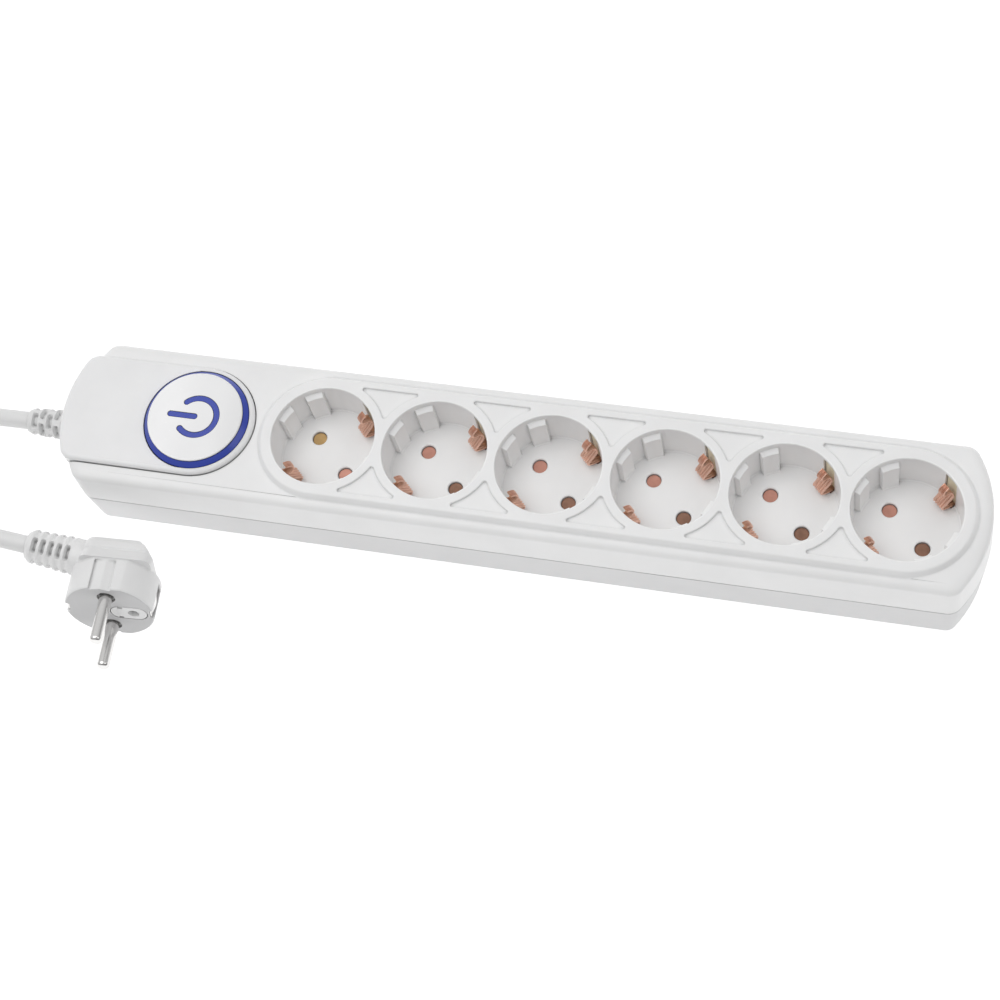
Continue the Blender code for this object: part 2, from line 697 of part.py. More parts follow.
def build_gland():
    """The ribbed sleeve that the cord leaves through, held by its flange inside the end wall."""
    wall = LEFT - GAP
    tip = MIDDLE - GLAND_REACH
    sleeve = wall - tip
    profile = [(4.5, 0), (5.0, 0.8), (6.2, sleeve), (5.0, sleeve), (5.0, sleeve + 5.0), (7.2, sleeve + 5.0),
               (7.2, sleeve + 7.0), (4.6, sleeve + 7.4)]
    made = turned("cord_gland", profile, 24, "cord white")
    columns = [3.2 + 3.6 * k for k in range(5)]
    cut(made, ring_slots(columns, lambda z: 5.0 + 1.2 * z / sleeve, 4.6, math.radians(20), math.pi / 4))
    return smooth(along_x(made, tip, 0, CORD_HEIGHT))


def build_clamp():
    x = LEFT + 13
    inner = LEFT + 7.4
    sheath = turned("inner_sheath", [(CORD_RADIUS, inner), (CORD_RADIUS, LEFT + 21.3)], 24, "cord white")
    smooth(along_x(sheath, 0, 0, CORD_HEIGHT))
    clamp = box("cord_clamp", (x - 2.5, -12, 22.8), (x + 2.5, 12, 26.4), "grey plastic")
    cut(clamp, joined([cylinder("hole", x, y, 1.5, 22, 28, count=12) for y in (-8.5, 8.5)]))
    for k, y in enumerate((-8.5, 8.5)):
        profile = [(1.2, 14), (1.2, 26.7), (2.4, 26.7), (2.4, 27.7), (1.7, 28.3)]
        smooth(shift(turned(f"clamp_screw_{k + 1}", profile, 16, "steel"), x, y, 0))


def plug_matrix():
    """The lying plug's frame: Z runs out along its pins, X points away from the cord."""
    out = Vector((math.sin(PLUG_YAW) * math.cos(PLUG_TILT), -math.cos(PLUG_YAW) * math.cos(PLUG_TILT),
                  math.sin(PLUG_TILT)))
    level = Vector((math.cos(PLUG_YAW), math.sin(PLUG_YAW), 0))
    up = out.cross(level)
    x = level * math.cos(PLUG_ROLL) + up * math.sin(PLUG_ROLL)
    y = out.cross(x)
    return Matrix.Translation(PLUG_FACE) @ Matrix((x, y, out)).transposed().to_4x4()


def relief_matrix():
    """Turns a shape drawn along Z into the strain relief's place, in the plug's frame."""
    run = (RELIEF_END - RELIEF_START).normalized()
    return Matrix.Translation(RELIEF_START) @ run.to_track_quat("Z", "Y").to_matrix().to_4x4()


def plug_section(depth, shrink=1.0):
    """The part that enters a socket: a circle with two flats."""
    points = circle(0, 0, PLUG_RADIUS * shrink, 40)
    flat = PLUG_FLAT * shrink
    return at_height([(x, max(-flat, min(flat, y))) for x, y in points], -depth)


def grip_section(depth, half, corner=4.0):
    left, right = -13, 14.5
    points = []
    for x, y, first in ((right - corner, half - corner, 0), (left + corner, half - corner, 1),
                        (left + corner, corner - half, 2), (right - corner, corner - half, 3)):
        for k in range(5):
            turn = (first + k / 4) * math.pi / 2
            points.append((x + corner * math.cos(turn), y + corner * math.sin(turn)))
    return at_height(points, -depth)


def build_plug():
    place = plug_matrix()
    body = loft("plug_body", [plug_section(14.4), plug_section(0.5), plug_section(0, 0.975)])
    grip = loft("grip", [
        grip_section(26.2, 9.6), grip_section(23.4, 11.9), grip_section(23.0, 12.5),
        grip_section(19.8, 13.5), grip_section(19.4, 12.9), grip_section(13.4, 16.4),
    ])
    add(body, grip)
    slope = [(20.2, -10.5), (30, -10.5), (30, -33), (2.2, -33)]
    cut(body, loft("slope", [[(x, y, z) for x, z in slope] for y in (-22, 22)]))
    length = (RELIEF_END - RELIEF_START).length
    profile = [(7.3, 0), (7.3, 3.5), (6.2, length - 1), (5.4, length)]
    relief = turned("relief", profile, 24)
    columns = [length - 3.9 - 3.35 * k for k in range(5)]
    cut(relief, ring_slots(columns, lambda z: 6.4 + 0.046 * (length - z), 5.8, math.radians(66), 0))
    add(body, move(relief, relief_matrix()))
    for way in (-1, 1):
        low, high = sorted((way * 14.8, way * 18))
        cut(body, box("groove", (-5.6, low, -12.6), (-0.4, high, 1)))
        cut(body, box("notch", (way * 15.2 if way > 0 else -20, -2.6, -12.4),
                      (20 if way > 0 else -15.2, 2.6, 1)))
    pins = [cylinder("pin", 0, way * PIN_SPACING / 2, PIN_RADIUS + GAP, -12.3, 1, count=18) for way in (-1, 1)]
    cut(body, joined(pins))
    cut(body, prism("seat", capsule((4.4, 0), (10.4, 0), 8.4), -6.3, 1))
    smooth(move(body, place))

    for k, way in enumerate((1, -1)):
        profile = [(PIN_RADIUS, -12), (PIN_RADIUS, PIN_LENGTH - 0.9), (PIN_RADIUS - 0.5, PIN_LENGTH - 0.2),
                   (PIN_RADIUS - 1.2, PIN_LENGTH)]
        pin = turned(f"plug_pin_{k + 1}", profile, 20, "nickel")
        smooth(move(shift(pin, 0, way * PIN_SPACING / 2, 0), place))

    for k, way in enumerate((1, -1)):
        earth = box(f"plug_earth_strip_{k + 1}", (15.5, -2.2, -12.0), (16.3, 2.2, -0.6), "nickel")
        turn = Matrix.Rotation(0 if way > 0 else math.pi, 4, "Z")
        move(earth, place @ turn)

    socket = prism("plug_earth_socket", capsule((4.4, 0), (10.4, 0), 7.8), -6.0, -0.2)
    cut(socket, cylinder("hole", 10, 0, 2.4, -5, 1, count=24))
    smooth(move(socket, place))


def coil_gate(turn, way):
    """Two spots, in plan, on a tube that runs tangentially onto the coil's outer turn.

    The second one is where the tube meets the coil's solid, and the first is a little before it.
    """
    reach = COIL_RADIUS + COIL_SPREAD
    touch = COIL_CENTRE + reach * Vector((math.cos(turn), math.sin(turn)))
    run = way * Vector((-math.sin(turn), math.cos(turn)))
    clear = math.sqrt(COIL_OUTER**2 - (reach - CORD_RADIUS) ** 2) + 2 * GAP
    return touch - run * (clear + 9), touch - run * clear


def build_coil():
    """The coil's outer shape: a ring with a soft edge, as wide and as tall as its turns."""
    tall = COIL_LAYERS * (2 * CORD_RADIUS + 0.2)
    inner, outer = 2 * COIL_RADIUS - COIL_OUTER, COIL_OUTER
    soft = 1.5
    profile = [(inner, soft), (inner + soft, 0.05), (outer - soft, 0.05), (outer, soft),
               (outer, tall - soft), (outer - soft, tall), (inner + soft, tall), (inner, tall - soft)]
    coil = turned("cord_coil", profile, 36, "cord white", closed=True)
    smooth(shift(coil, *COIL_CENTRE, 0))


def build_cord():
    """The lead from the gland to the coil, and the tail from the coil to the plug."""
    tip = MIDDLE - GLAND_REACH - GAP
    near, gate = coil_gate(LEAD_TURN, 1)
    lead = [(tip, 0, CORD_HEIGHT), (tip - 7, 0.05, 18.8), (tip - 15, 0.6, 17.5), (tip - 24, 2.9, 14.7),
            (tip - 33, 6.4, 11.2), (*near, 7.8), (*gate, 5.2)]
    tube("cord_lead", lead, CORD_RADIUS, "cord white", 6)

    place = plug_matrix()
    run = (RELIEF_END - RELIEF_START).normalized()
    leave = [place @ (RELIEF_END + run * step) for step in (GAP, 6)]
    near, gate = coil_gate(TAIL_TURN, -1)
    tail = [*leave, (-182.8, -51.7, 21.9), (-191.5, -51.7, 21.7), (-204.5, -52.9, 19.5), (-219, -55.6, 15.6),
            (*near, 12.3), (*gate, 11.3)]
    tube("cord_tail", tail, CORD_RADIUS, "cord white", 6)


def main():
    for old in list(bpy.data.objects):
        bpy.data.objects.remove(old)
    build_top_cover()
    build_bottom_cover()
    build_cover_screws()
    build_switch_panel()
    build_button()
    build_switch()
    build_rail("live_rail", RAIL_Y)
    build_rail("neutral_rail", -RAIL_Y)
    build_earth()
    build_wires()
    build_gland()
    build_clamp()
    build_plug()
    build_coil()
    build_cord()


main()
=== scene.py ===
"""The looks of a six-socket power strip with a push switch, its cord and its angled plug.

Lengths are in millimetres, and every mesh is made in metres. The stage is set out in metres.
The sizes come first, then the camera and the stage, the materials, the mesh tools and the pieces.
"""

import json
import math

import bmesh
import bpy
from mathutils import Matrix, Vector


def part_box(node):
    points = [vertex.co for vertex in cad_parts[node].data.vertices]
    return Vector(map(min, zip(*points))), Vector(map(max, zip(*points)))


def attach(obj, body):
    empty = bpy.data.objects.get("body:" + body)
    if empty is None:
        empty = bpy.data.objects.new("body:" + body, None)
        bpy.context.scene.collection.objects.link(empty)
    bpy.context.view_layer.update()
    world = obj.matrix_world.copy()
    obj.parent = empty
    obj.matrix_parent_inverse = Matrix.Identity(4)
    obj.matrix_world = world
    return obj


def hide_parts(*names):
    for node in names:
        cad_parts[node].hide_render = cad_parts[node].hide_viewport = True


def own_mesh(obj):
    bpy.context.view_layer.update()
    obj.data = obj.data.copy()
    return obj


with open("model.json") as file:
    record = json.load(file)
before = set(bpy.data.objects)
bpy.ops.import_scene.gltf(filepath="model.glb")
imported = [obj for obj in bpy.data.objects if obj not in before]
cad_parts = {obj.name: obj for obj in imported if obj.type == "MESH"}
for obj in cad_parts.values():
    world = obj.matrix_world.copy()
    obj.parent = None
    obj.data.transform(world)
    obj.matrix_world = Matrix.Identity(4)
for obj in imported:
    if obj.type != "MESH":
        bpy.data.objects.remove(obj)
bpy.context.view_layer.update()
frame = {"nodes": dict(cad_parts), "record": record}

MM = 0.001


def place_of(node):
    """A node's lowest and highest corners, in millimetres."""
    low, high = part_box(node)
    return low / MM, high / MM


def middle_of(node):
    low, high = place_of(node)
    return (low + high) / 2


def put(name, data):
    """A new object with this data, linked into the scene."""
    made = bpy.data.objects.new(name, data)
    bpy.context.scene.collection.objects.link(made)
    return made


# Housing
COVER_HIGH = place_of("top_cover")[1]
HEIGHT = COVER_HIGH.z
RIGHT = COVER_HIGH.x
HALF_WIDTH = COVER_HIGH.y
SOCKETS = 6
SOCKET_X = [middle_of(f"earth_bracket_{k + 1}").x for k in range(SOCKETS)]
PITCH = (SOCKET_X[-1] - SOCKET_X[0]) / (SOCKETS - 1)
GAP_X = [x + PITCH / 2 for x in SOCKET_X[:-1]]
MIDDLE = (SOCKET_X[0] + SOCKET_X[-1]) / 2
SCREW_Y = 20.5
SCREW_SPOTS = [(GAP_X[i], side * SCREW_Y) for i in (0, 2, 4) for side in (-1, 1)]
SCREW_PILOT = 1.75  # radius of the hole for a cover screw
LEFT = MIDDLE - 210.5
NOSE = place_of("switch_panel")[0].x
PARTING = 20.5
PARTING_GAP = 0.45
SHOULDER = HEIGHT - 2
WALL = 2.4
BOW = 50.0
CORNER = 6.0
PLATEAU_RADIUS = 23.8
PLATEAU_FOOT = 25.2

# Sockets
WELL_RADIUS = 19.75
WELL_DEPTH = 17.5
WELL_FLOOR = HEIGHT - WELL_DEPTH
CUP_RADIUS = WELL_RADIUS + 2.25
CUP_BOTTOM = WELL_FLOOR - 2
RIB_DEPTH = 2.0
PIN_SPACING = 19.0
PIN_LINE = math.radians(135)
PIN_HOLE_RADIUS = 2.85
CLIP_LINES = (PIN_LINE - math.pi / 2, PIN_LINE + math.pi / 2)

# Switch
BUTTON_X = middle_of("button_lens").x
BUTTON_RADIUS = 20.3
PANEL_HALF = 22.4
PANEL_BOTTOM = 33.8

# Contacts
CLIP_METAL = 0.6

# Cord and plug
CORD_RADIUS = 3.5
CORD_HEIGHT = 19.0
GLAND_TIP = place_of("cord_gland")[0].x
COIL_CENTRE = Vector(middle_of("cord_coil")[:2])
COIL_RADIUS = 38.5
COIL_PITCH = 7.3
COIL_TURNS = 5.6  # wound inwards on the lower layer and outwards on the upper one
COIL_SPREAD = COIL_PITCH * COIL_TURNS / 4
LEAD_TURN = math.radians(66.6)  # where the lead runs onto the coil's outer turn
TAIL_TURN = math.radians(284)  # where the tail leaves it
TIE_TURN = math.radians(170)
PLUG_RADIUS = 17.0
PLUG_FLAT = 15.9
PLUG_FACE = Vector((-131.1, -73.6, 19.8))
PLUG_YAW = math.radians(7)
PLUG_TILT = math.radians(9.5)
PLUG_ROLL = math.radians(-8)
RELIEF_START = Vector((-8.8, 0, -20.9))
RELIEF_END = Vector((-36.4, 0, -25.3))
RELIEF_RUN = (RELIEF_END - RELIEF_START).normalized()
PIN_LENGTH = 19.0
PIN_RADIUS = 2.4
EARTH_SEAT = ((4.4, 0), (10.4, 0))  # the line of the plug's earth socket, in the plug's frame

# Camera
CAMERA_AIM = Vector((11.1, -16.7, 40.0))
CAMERA_AZIMUTH = math.radians(29.1)
CAMERA_ELEVATION = math.radians(63.74)
CAMERA_ROLL = math.radians(-19.09)
CAMERA_DISTANCE = 792.5
CAMERA_LENS = 78.7

# Stage, in metres and watts
SKY_BRIGHT = Vector((-0.35, 0.35, 1.0))  # the side of the sky that is brightest
SKY_DARK_FROM = -0.35  # the cosine to that side at which the sky is darkest
SKY_STRENGTH = (0.13, 0.72)
LIGHTS = {  # place, size and power
    "key": ((-0.45, -0.05, 1.35), (1.1, 0.9), 5.8),
    "right_fill": ((0.9, 0.0, 0.8), (0.8, 0.6), 1.4),
}
FLOOR_HALF = 9
FLOOR_LEVEL = -0.0002
FLOOR_TONE = 0.3
FLOOR_GLOW = 0.93

# Materials
CREASE_SHADE_REACH = 1.4  # how far from a neighbouring face the painted shade in a crease still reaches
SKIN_DEPTH = 0.0012  # how far light spreads inside the white plastic, in metres
GRAIN_DEPTH = 0.0002
SHADING_FROM = 0.15  # the share of the button's width at which its painted shading starts to change
SHADING_MIDDLE = 0.64  # the share at which the middle one of the three painted shading tones is reached
COATS = {}


# ---- camera and stage

def add_camera():
    data = bpy.data.cameras.new("camera")
    data.lens = CAMERA_LENS
    data.clip_end = 20
    camera = put("camera", data)
    flat = math.cos(CAMERA_ELEVATION)
    back = Vector((math.sin(CAMERA_AZIMUTH) * flat, -math.cos(CAMERA_AZIMUTH) * flat,
                   math.sin(CAMERA_ELEVATION)))
    level = (-back).cross(Vector((0, 0, 1))).normalized()
    up = level.cross(-back)
    right = level * math.cos(CAMERA_ROLL) + up * math.sin(CAMERA_ROLL)
    top = up * math.cos(CAMERA_ROLL) - level * math.sin(CAMERA_ROLL)
    turn = Matrix((right, top, back)).transposed().to_4x4()
    camera.matrix_world = Matrix.Translation((CAMERA_AIM + back * CAMERA_DISTANCE) * MM) @ turn
    bpy.context.scene.camera = camera


def add_light(name, place, size, power):
    """A soft light that shines on the middle of the housing's floor."""
    data = bpy.data.lights.new(name, "AREA")
    data.shape = "RECTANGLE"
    data.size, data.size_y = size
    data.energy = power
    lamp = put(name, data)
    lamp.location = place
    lamp.rotation_euler = (-Vector(place)).to_track_quat("-Z", "Y").to_euler()


def add_sky():
    """An even studio sky, brighter overhead than at the sides."""
    world = bpy.data.worlds.new("studio")
    world.use_nodes = True
    bpy.context.scene.world = world
    nodes, links = world.node_tree.nodes, world.node_tree.links
    nodes["Background"].inputs["Color"].default_value = (1, 1, 1, 1)
    spot = nodes.new("ShaderNodeTexCoord")
    toward = nodes.new("ShaderNodeVectorMath")
    toward.operation = "DOT_PRODUCT"
    toward.inputs[1].default_value = SKY_BRIGHT.normalized()
    links.new(spot.outputs["Generated"], toward.inputs[0])
    level = nodes.new("ShaderNodeMapRange")
    level.interpolation_type = "SMOOTHSTEP"
    level.inputs["From Min"].default_value = SKY_DARK_FROM
    level.inputs["To Min"].default_value = SKY_STRENGTH[0]
    level.inputs["To Max"].default_value = SKY_STRENGTH[1]
    links.new(toward.outputs["Value"], level.inputs["Value"])
    links.new(level.outputs["Result"], nodes["Background"].inputs["Strength"])


def add_floor():
    """A plain white floor that glows a little, so that it throws light on the sides."""
    mesh = bpy.data.meshes.new("floor")
    mesh.from_pydata([(x * FLOOR_HALF, y * FLOOR_HALF, FLOOR_LEVEL)
                      for x, y in ((-1, -1), (1, -1), (1, 1), (-1, 1))], [], [(0, 1, 2, 3)])
    floor = put("floor", mesh)
    coat = bpy.data.materials.new("floor_paper")
    coat.use_nodes = True
    shader = coat.node_tree.nodes["Principled BSDF"]
    shader.inputs["Base Color"].default_value = (FLOOR_TONE, FLOOR_TONE, FLOOR_TONE, 1)
    shader.inputs["Roughness"].default_value = 0.9
    shader.inputs["Specular IOR Level"].default_value = 0.0
    shader.inputs["Emission Color"].default_value = (1, 1, 1, 1)
    shader.inputs["Emission Strength"].default_value = FLOOR_GLOW
    mesh.materials.append(coat)


def add_stage():
    bpy.context.scene.view_settings.view_transform = "Standard"
    add_sky()
    for name, (place, size, power) in LIGHTS.items():
        add_light(name, place, size, power)
    add_floor()


# ---- materials

def material(name, colour, roughness, metallic=0.0, speck=0.02, speck_size=60.0, grain=0.02,
             grain_size=900.0, coat=0.0, subsurface=0.0, crease_shade=0.55, painted_shading=None):
    """Adds a moulded or metal surface, with faint mottling, painted shade in its creases and a fine
    grain.

    A painted shading gives the tones at the left, just right of the middle, and at the right of the
    button: painted light and shade across it.
    """
    made = bpy.data.materials.new(name)
    made.use_nodes = True
    nodes, links = made.node_tree.nodes, made.node_tree.links
    shader = nodes["Principled BSDF"]

    def node(kind, **values):
        """A new node, with its inputs' values. An input's spaces are written as underscores."""
        new = nodes.new(kind)
        for field, value in values.items():
            new.inputs[field.replace("_", " ")].default_value = value
        return new

    def vector_step(operation, first, second, socket):
        step = nodes.new("ShaderNodeVectorMath")
        step.operation = operation
        links.new(first, step.inputs[0])
        links.new(second, step.inputs[socket])
        return step.outputs["Vector"]

    shader.inputs["Metallic"].default_value = metallic
    shader.inputs["Coat Weight"].default_value = coat
    shader.inputs["Coat Roughness"].default_value = 0.15
    if subsurface:
        shader.inputs["Subsurface Weight"].default_value = subsurface
        shader.inputs["Subsurface Radius"].default_value = (1, 0.95, 0.9)
        shader.inputs["Subsurface Scale"].default_value = SKIN_DEPTH
    spot = nodes.new("ShaderNodeTexCoord")
    mottle = node("ShaderNodeTexNoise", Scale=speck_size, Detail=4)
    links.new(spot.outputs["Object"], mottle.inputs["Vector"])
    tint = nodes.new("ShaderNodeValToRGB")
    for element, place, change in zip(tint.color_ramp.elements, (0.3, 0.7), (-speck, speck)):
        element.position = place
        element.color = (*(min(1, c * (1 + change)) for c in colour), 1)
    links.new(mottle.outputs["Fac"], tint.inputs["Fac"])
    # Painted shade: an ambient occlusion darkens the base colour near neighbouring faces, in
    # creases, slots and recesses.
    inner = node("ShaderNodeAmbientOcclusion", Distance=CREASE_SHADE_REACH * MM)
    inner.samples = 6
    crease_shade_scale = node("ShaderNodeMapRange", From_Min=0.25, From_Max=0.85, To_Min=1 - crease_shade)
    links.new(inner.outputs["AO"], crease_shade_scale.inputs["Value"])
    tone = vector_step("SCALE", tint.outputs["Color"], crease_shade_scale.outputs["Result"], "Scale")
    # Painted light and shade: the base colour is scaled across the button, lighter at the left and
    # darker towards the right.
    if painted_shading:
        apart = nodes.new("ShaderNodeSeparateXYZ")
        across = node("ShaderNodeMapRange", From_Min=(BUTTON_X - BUTTON_RADIUS) * MM,
                      From_Max=(BUTTON_X + BUTTON_RADIUS) * MM)
        shading_ramp = nodes.new("ShaderNodeValToRGB")
        shading_ramp.color_ramp.interpolation = "EASE"
        shading_ramp.color_ramp.elements.new(SHADING_MIDDLE)
        for element, level in zip(shading_ramp.color_ramp.elements, painted_shading):
            element.color = (level, level, level, 1)
        shading_ramp.color_ramp.elements[0].position = SHADING_FROM
        links.new(spot.outputs["Object"], apart.inputs[0])
        links.new(apart.outputs["X"], across.inputs["Value"])
        links.new(across.outputs["Result"], shading_ramp.inputs["Fac"])
        tone = vector_step("MULTIPLY", tone, shading_ramp.outputs["Color"], 1)
    links.new(tone, shader.inputs["Base Color"])
    texture = node("ShaderNodeTexNoise", Scale=grain_size, Detail=3)
    links.new(spot.outputs["Object"], texture.inputs["Vector"])
    gloss = node("ShaderNodeMapRange", To_Min=roughness * 0.9, To_Max=roughness * 1.12)
    links.new(texture.outputs["Fac"], gloss.inputs["Value"])
    links.new(gloss.outputs["Result"], shader.inputs["Roughness"])
    bump = node("ShaderNodeBump", Strength=grain, Distance=GRAIN_DEPTH)
    links.new(texture.outputs["Fac"], bump.inputs["Height"])
    links.new(bump.outputs["Normal"], shader.inputs["Normal"])
    COATS[name] = made


# Each coat's crease setting sets how dark the painted shade in its creases gets.
material("white_plastic", (0.88, 0.88, 0.88), 0.34, grain=0.10, subsurface=0.15)
# A lighter copy of the white plastic: painted light on the wells' walls and floors.
material("lit_well_plastic", (0.95, 0.95, 0.95), 0.34, grain=0.10, subsurface=0.15, crease_shade=0.4)
material("panel_plastic", (0.87, 0.87, 0.875), 0.30, grain=0.10, subsurface=0.15)
material("lower_plastic", (0.71, 0.71, 0.715), 0.38, grain=0.12, subsurface=0.15)
# The cap's colour carries painted light and shade: lighter at the left, darker towards the right.
material("cap_plastic", (0.97, 0.97, 0.975), 0.26, grain=0.05, coat=0.2, painted_shading=(1.0, 0.93, 0.84))
material("cord_plastic", (0.79, 0.79, 0.79), 0.42, grain=0.15, grain_size=600, crease_shade=0.75)
material("plug_plastic", (0.82, 0.82, 0.82), 0.40, grain=0.15, grain_size=700, crease_shade=0.7)
# A darker copy of the plug's plastic: painted shade on the plug's front face.
material("shaded_plug_front", (0.62, 0.62, 0.625), 0.40, grain=0.15, grain_size=700)
material("insert_plastic", (0.88, 0.88, 0.88), 0.35)
material("blue_lens", (0.035, 0.065, 0.42), 0.25, speck=0.04, coat=0.3)
material("grey_plastic", (0.40, 0.41, 0.43), 0.50, grain=0.2)
material("copper", (0.86, 0.54, 0.42), 0.32, metallic=0.75, speck=0.12, speck_size=250,
         grain=0.15, grain_size=1500, crease_shade=0.35)
# Lighter and darker copies of the contacts' copper for the pin holes: painted light and shade.
material("pink_copper", (0.52, 0.25, 0.19), 0.42, metallic=0.5, speck=0.1,
         speck_size=300, grain=0.2, grain_size=1500, crease_shade=0.2)
material("dull_copper", (0.25, 0.13, 0.085), 0.45, metallic=0.5, speck=0.2,
         speck_size=300, grain=0.2, grain_size=1500, crease_shade=0.2)
# Also used for the first socket's far contact, whose brassy tone is a painted glint.
material("brass", (0.45, 0.29, 0.12), 0.40, metallic=0.5, speck=0.1, speck_size=250,
         grain=0.15, grain_size=1500, crease_shade=0.2)
material("cream_plastic", (0.88, 0.82, 0.60), 0.45, crease_shade=0.1)
material("steel", (0.60, 0.60, 0.61), 0.30, metallic=1.0, speck=0.06, grain=0.1)
material("nickel", (0.80, 0.79, 0.78), 0.16, metallic=1.0, speck=0.03, grain=0.03)
material("brown_wire", (0.20, 0.09, 0.05), 0.45)
material("blue_wire", (0.05, 0.14, 0.50), 0.45)
material("green_wire", (0.24, 0.46, 0.08), 0.45)
material("amber_lamp", (0.80, 0.42, 0.14), 0.2)


def dress_frame():
    """Gives each carried-over CAD node the coat of its material slot."""
    for row in frame["record"]["subparts"]:
        mesh = frame["nodes"][row["node"]].data
        mesh.materials.clear()
        mesh.materials.append(COATS[row["material_slot"]])


# ---- meshes

class Skin:
    """A mesh that is made ring by ring, from points in millimetres."""

    def __init__(self):
        self.shape = bmesh.new()

    def ring(self, points):
        return [self.shape.verts.new(Vector(p) * MM) for p in points]

    def band(self, low, high, closed=True):
        count = len(low)
        for i in range(count if closed else count - 1):
            j = (i + 1) % count
            self.shape.faces.new((low[i], low[j], high[j], high[i]))

    def sweep(self, outlines):
        """Skins a row of rings with the same number of points, and returns the rings."""
        rings = [self.ring(points) for points in outlines]
        for low, high in zip(rings, rings[1:]):
            self.band(low, high)
        return rings

    def cap(self, ring):
        self.shape.faces.new(ring)

    def fill(self, *rings):
        """Fills a flat region between one outer ring and any number of holes."""
        edges = []
        for ring in rings:
            for a, b in zip(ring, ring[1:] + ring[:1]):
                edges.append(self.shape.edges.get((a, b)) or self.shape.edges.new((a, b)))
        bmesh.ops.triangle_fill(self.shape, use_beauty=True, edges=edges)

    def made(self, name, coat):
        bmesh.ops.recalc_face_normals(self.shape, faces=self.shape.faces)
        mesh = bpy.data.meshes.new(name)
        self.shape.to_mesh(mesh)
        self.shape.free()
        mesh.materials.append(COATS[coat])
        return put(name, mesh)


def apply_modifiers(piece):
    graph = bpy.context.evaluated_depsgraph_get()
    result = bpy.data.meshes.new_from_object(piece.evaluated_get(graph))
    piece.modifiers.clear()
    piece.data = result
    return piece


def combine(piece, other, operation):
    modifier = piece.modifiers.new("combine", "BOOLEAN")
    modifier.solver = "EXACT"
    modifier.operation = operation
    modifier.object = other
    apply_modifiers(piece)
    bpy.data.objects.remove(other)
    return piece


def cut(piece, other):
    return combine(piece, other, "DIFFERENCE")


def add(piece, other):
    return combine(piece, other, "UNION")


def joined(shapes):
    """Several separate shapes as one mesh, so that one Boolean handles them all."""
    first = shapes[0]
    shape = bmesh.new()
    for other in shapes:
        shape.from_mesh(other.data)
    shape.to_mesh(first.data)
    shape.free()
    for other in shapes[1:]:
        bpy.data.objects.remove(other)
    return first


def move(piece, matrix):
    """Moves the mesh by a matrix whose lengths are in millimetres."""
    matrix = matrix.copy()
    matrix.translation *= MM
    piece.data.transform(matrix)
    return piece


def shift(piece, x, y, z):
    return move(piece, Matrix.Translation((x, y, z)))


def soften(piece, width, segments=3, angle=32):
    """Rounds every edge that is sharper than the angle."""
    bevel = piece.modifiers.new("soften", "BEVEL")
    bevel.width = width * MM
    bevel.segments = segments
    bevel.limit_method = "ANGLE"
    bevel.angle_limit = math.radians(angle)
    bevel.miter_outer = "MITER_ARC"
    bevel.use_clamp_overlap = True
    return apply_modifiers(piece)


def shade(piece, angle=35):
    """Shades curves smooth, and keeps flat faces flat next to their rounded edges."""
    piece.data.shade_smooth()
    piece.data.set_sharp_from_angle(angle=math.radians(angle))
    weigh = piece.modifiers.new("weigh", "WEIGHTED_NORMAL")
    weigh.keep_sharp = True
    return piece


def finish_piece(piece, body, slot, *nodes):
    """Makes a piece ride on its body and stand for its CAD nodes."""
    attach(piece, body)
    if nodes:
        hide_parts(*nodes)
    return piece


# ---- outlines

def at_height(outline, z):
    return [(x, y, z) for x, y in outline]


def on_circle(x, y, radius, turns):
    return [(x + radius * math.cos(t), y + radius * math.sin(t)) for t in turns]


def circle(x, y, radius, count):
    return on_circle(x, y, radius, [2 * math.pi * k / count for k in range(count)])


def quarter(count):
    """The (cosine, sine) pairs of a quarter turn, ends included."""
    turns = [math.pi / 2 * k / count for k in range(count + 1)]
    return [(math.cos(t), math.sin(t)) for t in turns]


def loft(name, outlines, coat="white_plastic"):
    """Skins a row of outlines and closes both ends."""
    skin = Skin()
    rings = skin.sweep(outlines)
    skin.cap(rings[0])
    skin.cap(rings[-1])
    return skin.made(name, coat)


def prism(name, outline, bottom, top, coat="white_plastic"):
    return loft(name, [at_height(outline, bottom), at_height(outline, top)], coat)


def box(name, low, high, coat="white_plastic"):
    outline = [(low[0], low[1]), (high[0], low[1]), (high[0], high[1]), (low[0], high[1])]
    return prism(name, outline, low[2], high[2], coat)


def ring_loft(name, outlines, coat):
    """Skins a row of outlines and joins the last one to the first."""
    skin = Skin()
    rings = skin.sweep(outlines)
    skin.band(rings[-1], rings[0])
    return skin.made(name, coat)


def turned(name, profile, count, coat="white_plastic", closed=False):
    """Turns (radius, height) pairs about Z. A closed profile gives a ring."""
    outlines = [at_height(circle(0, 0, radius, count), z) for radius, z in profile]
    return (ring_loft if closed else loft)(name, outlines, coat)


def rounded(left, right, low, high, radius):
    """A rounded rectangle, from the middles of its corners and their radius."""
    points = []
    for x, y, first in ((right, high, 0), (left, high, 1), (left, low, 2), (right, low, 3)):
        points += on_circle(x, y, radius, [(first + k / 8) * math.pi / 2 for k in range(9)])
    return points


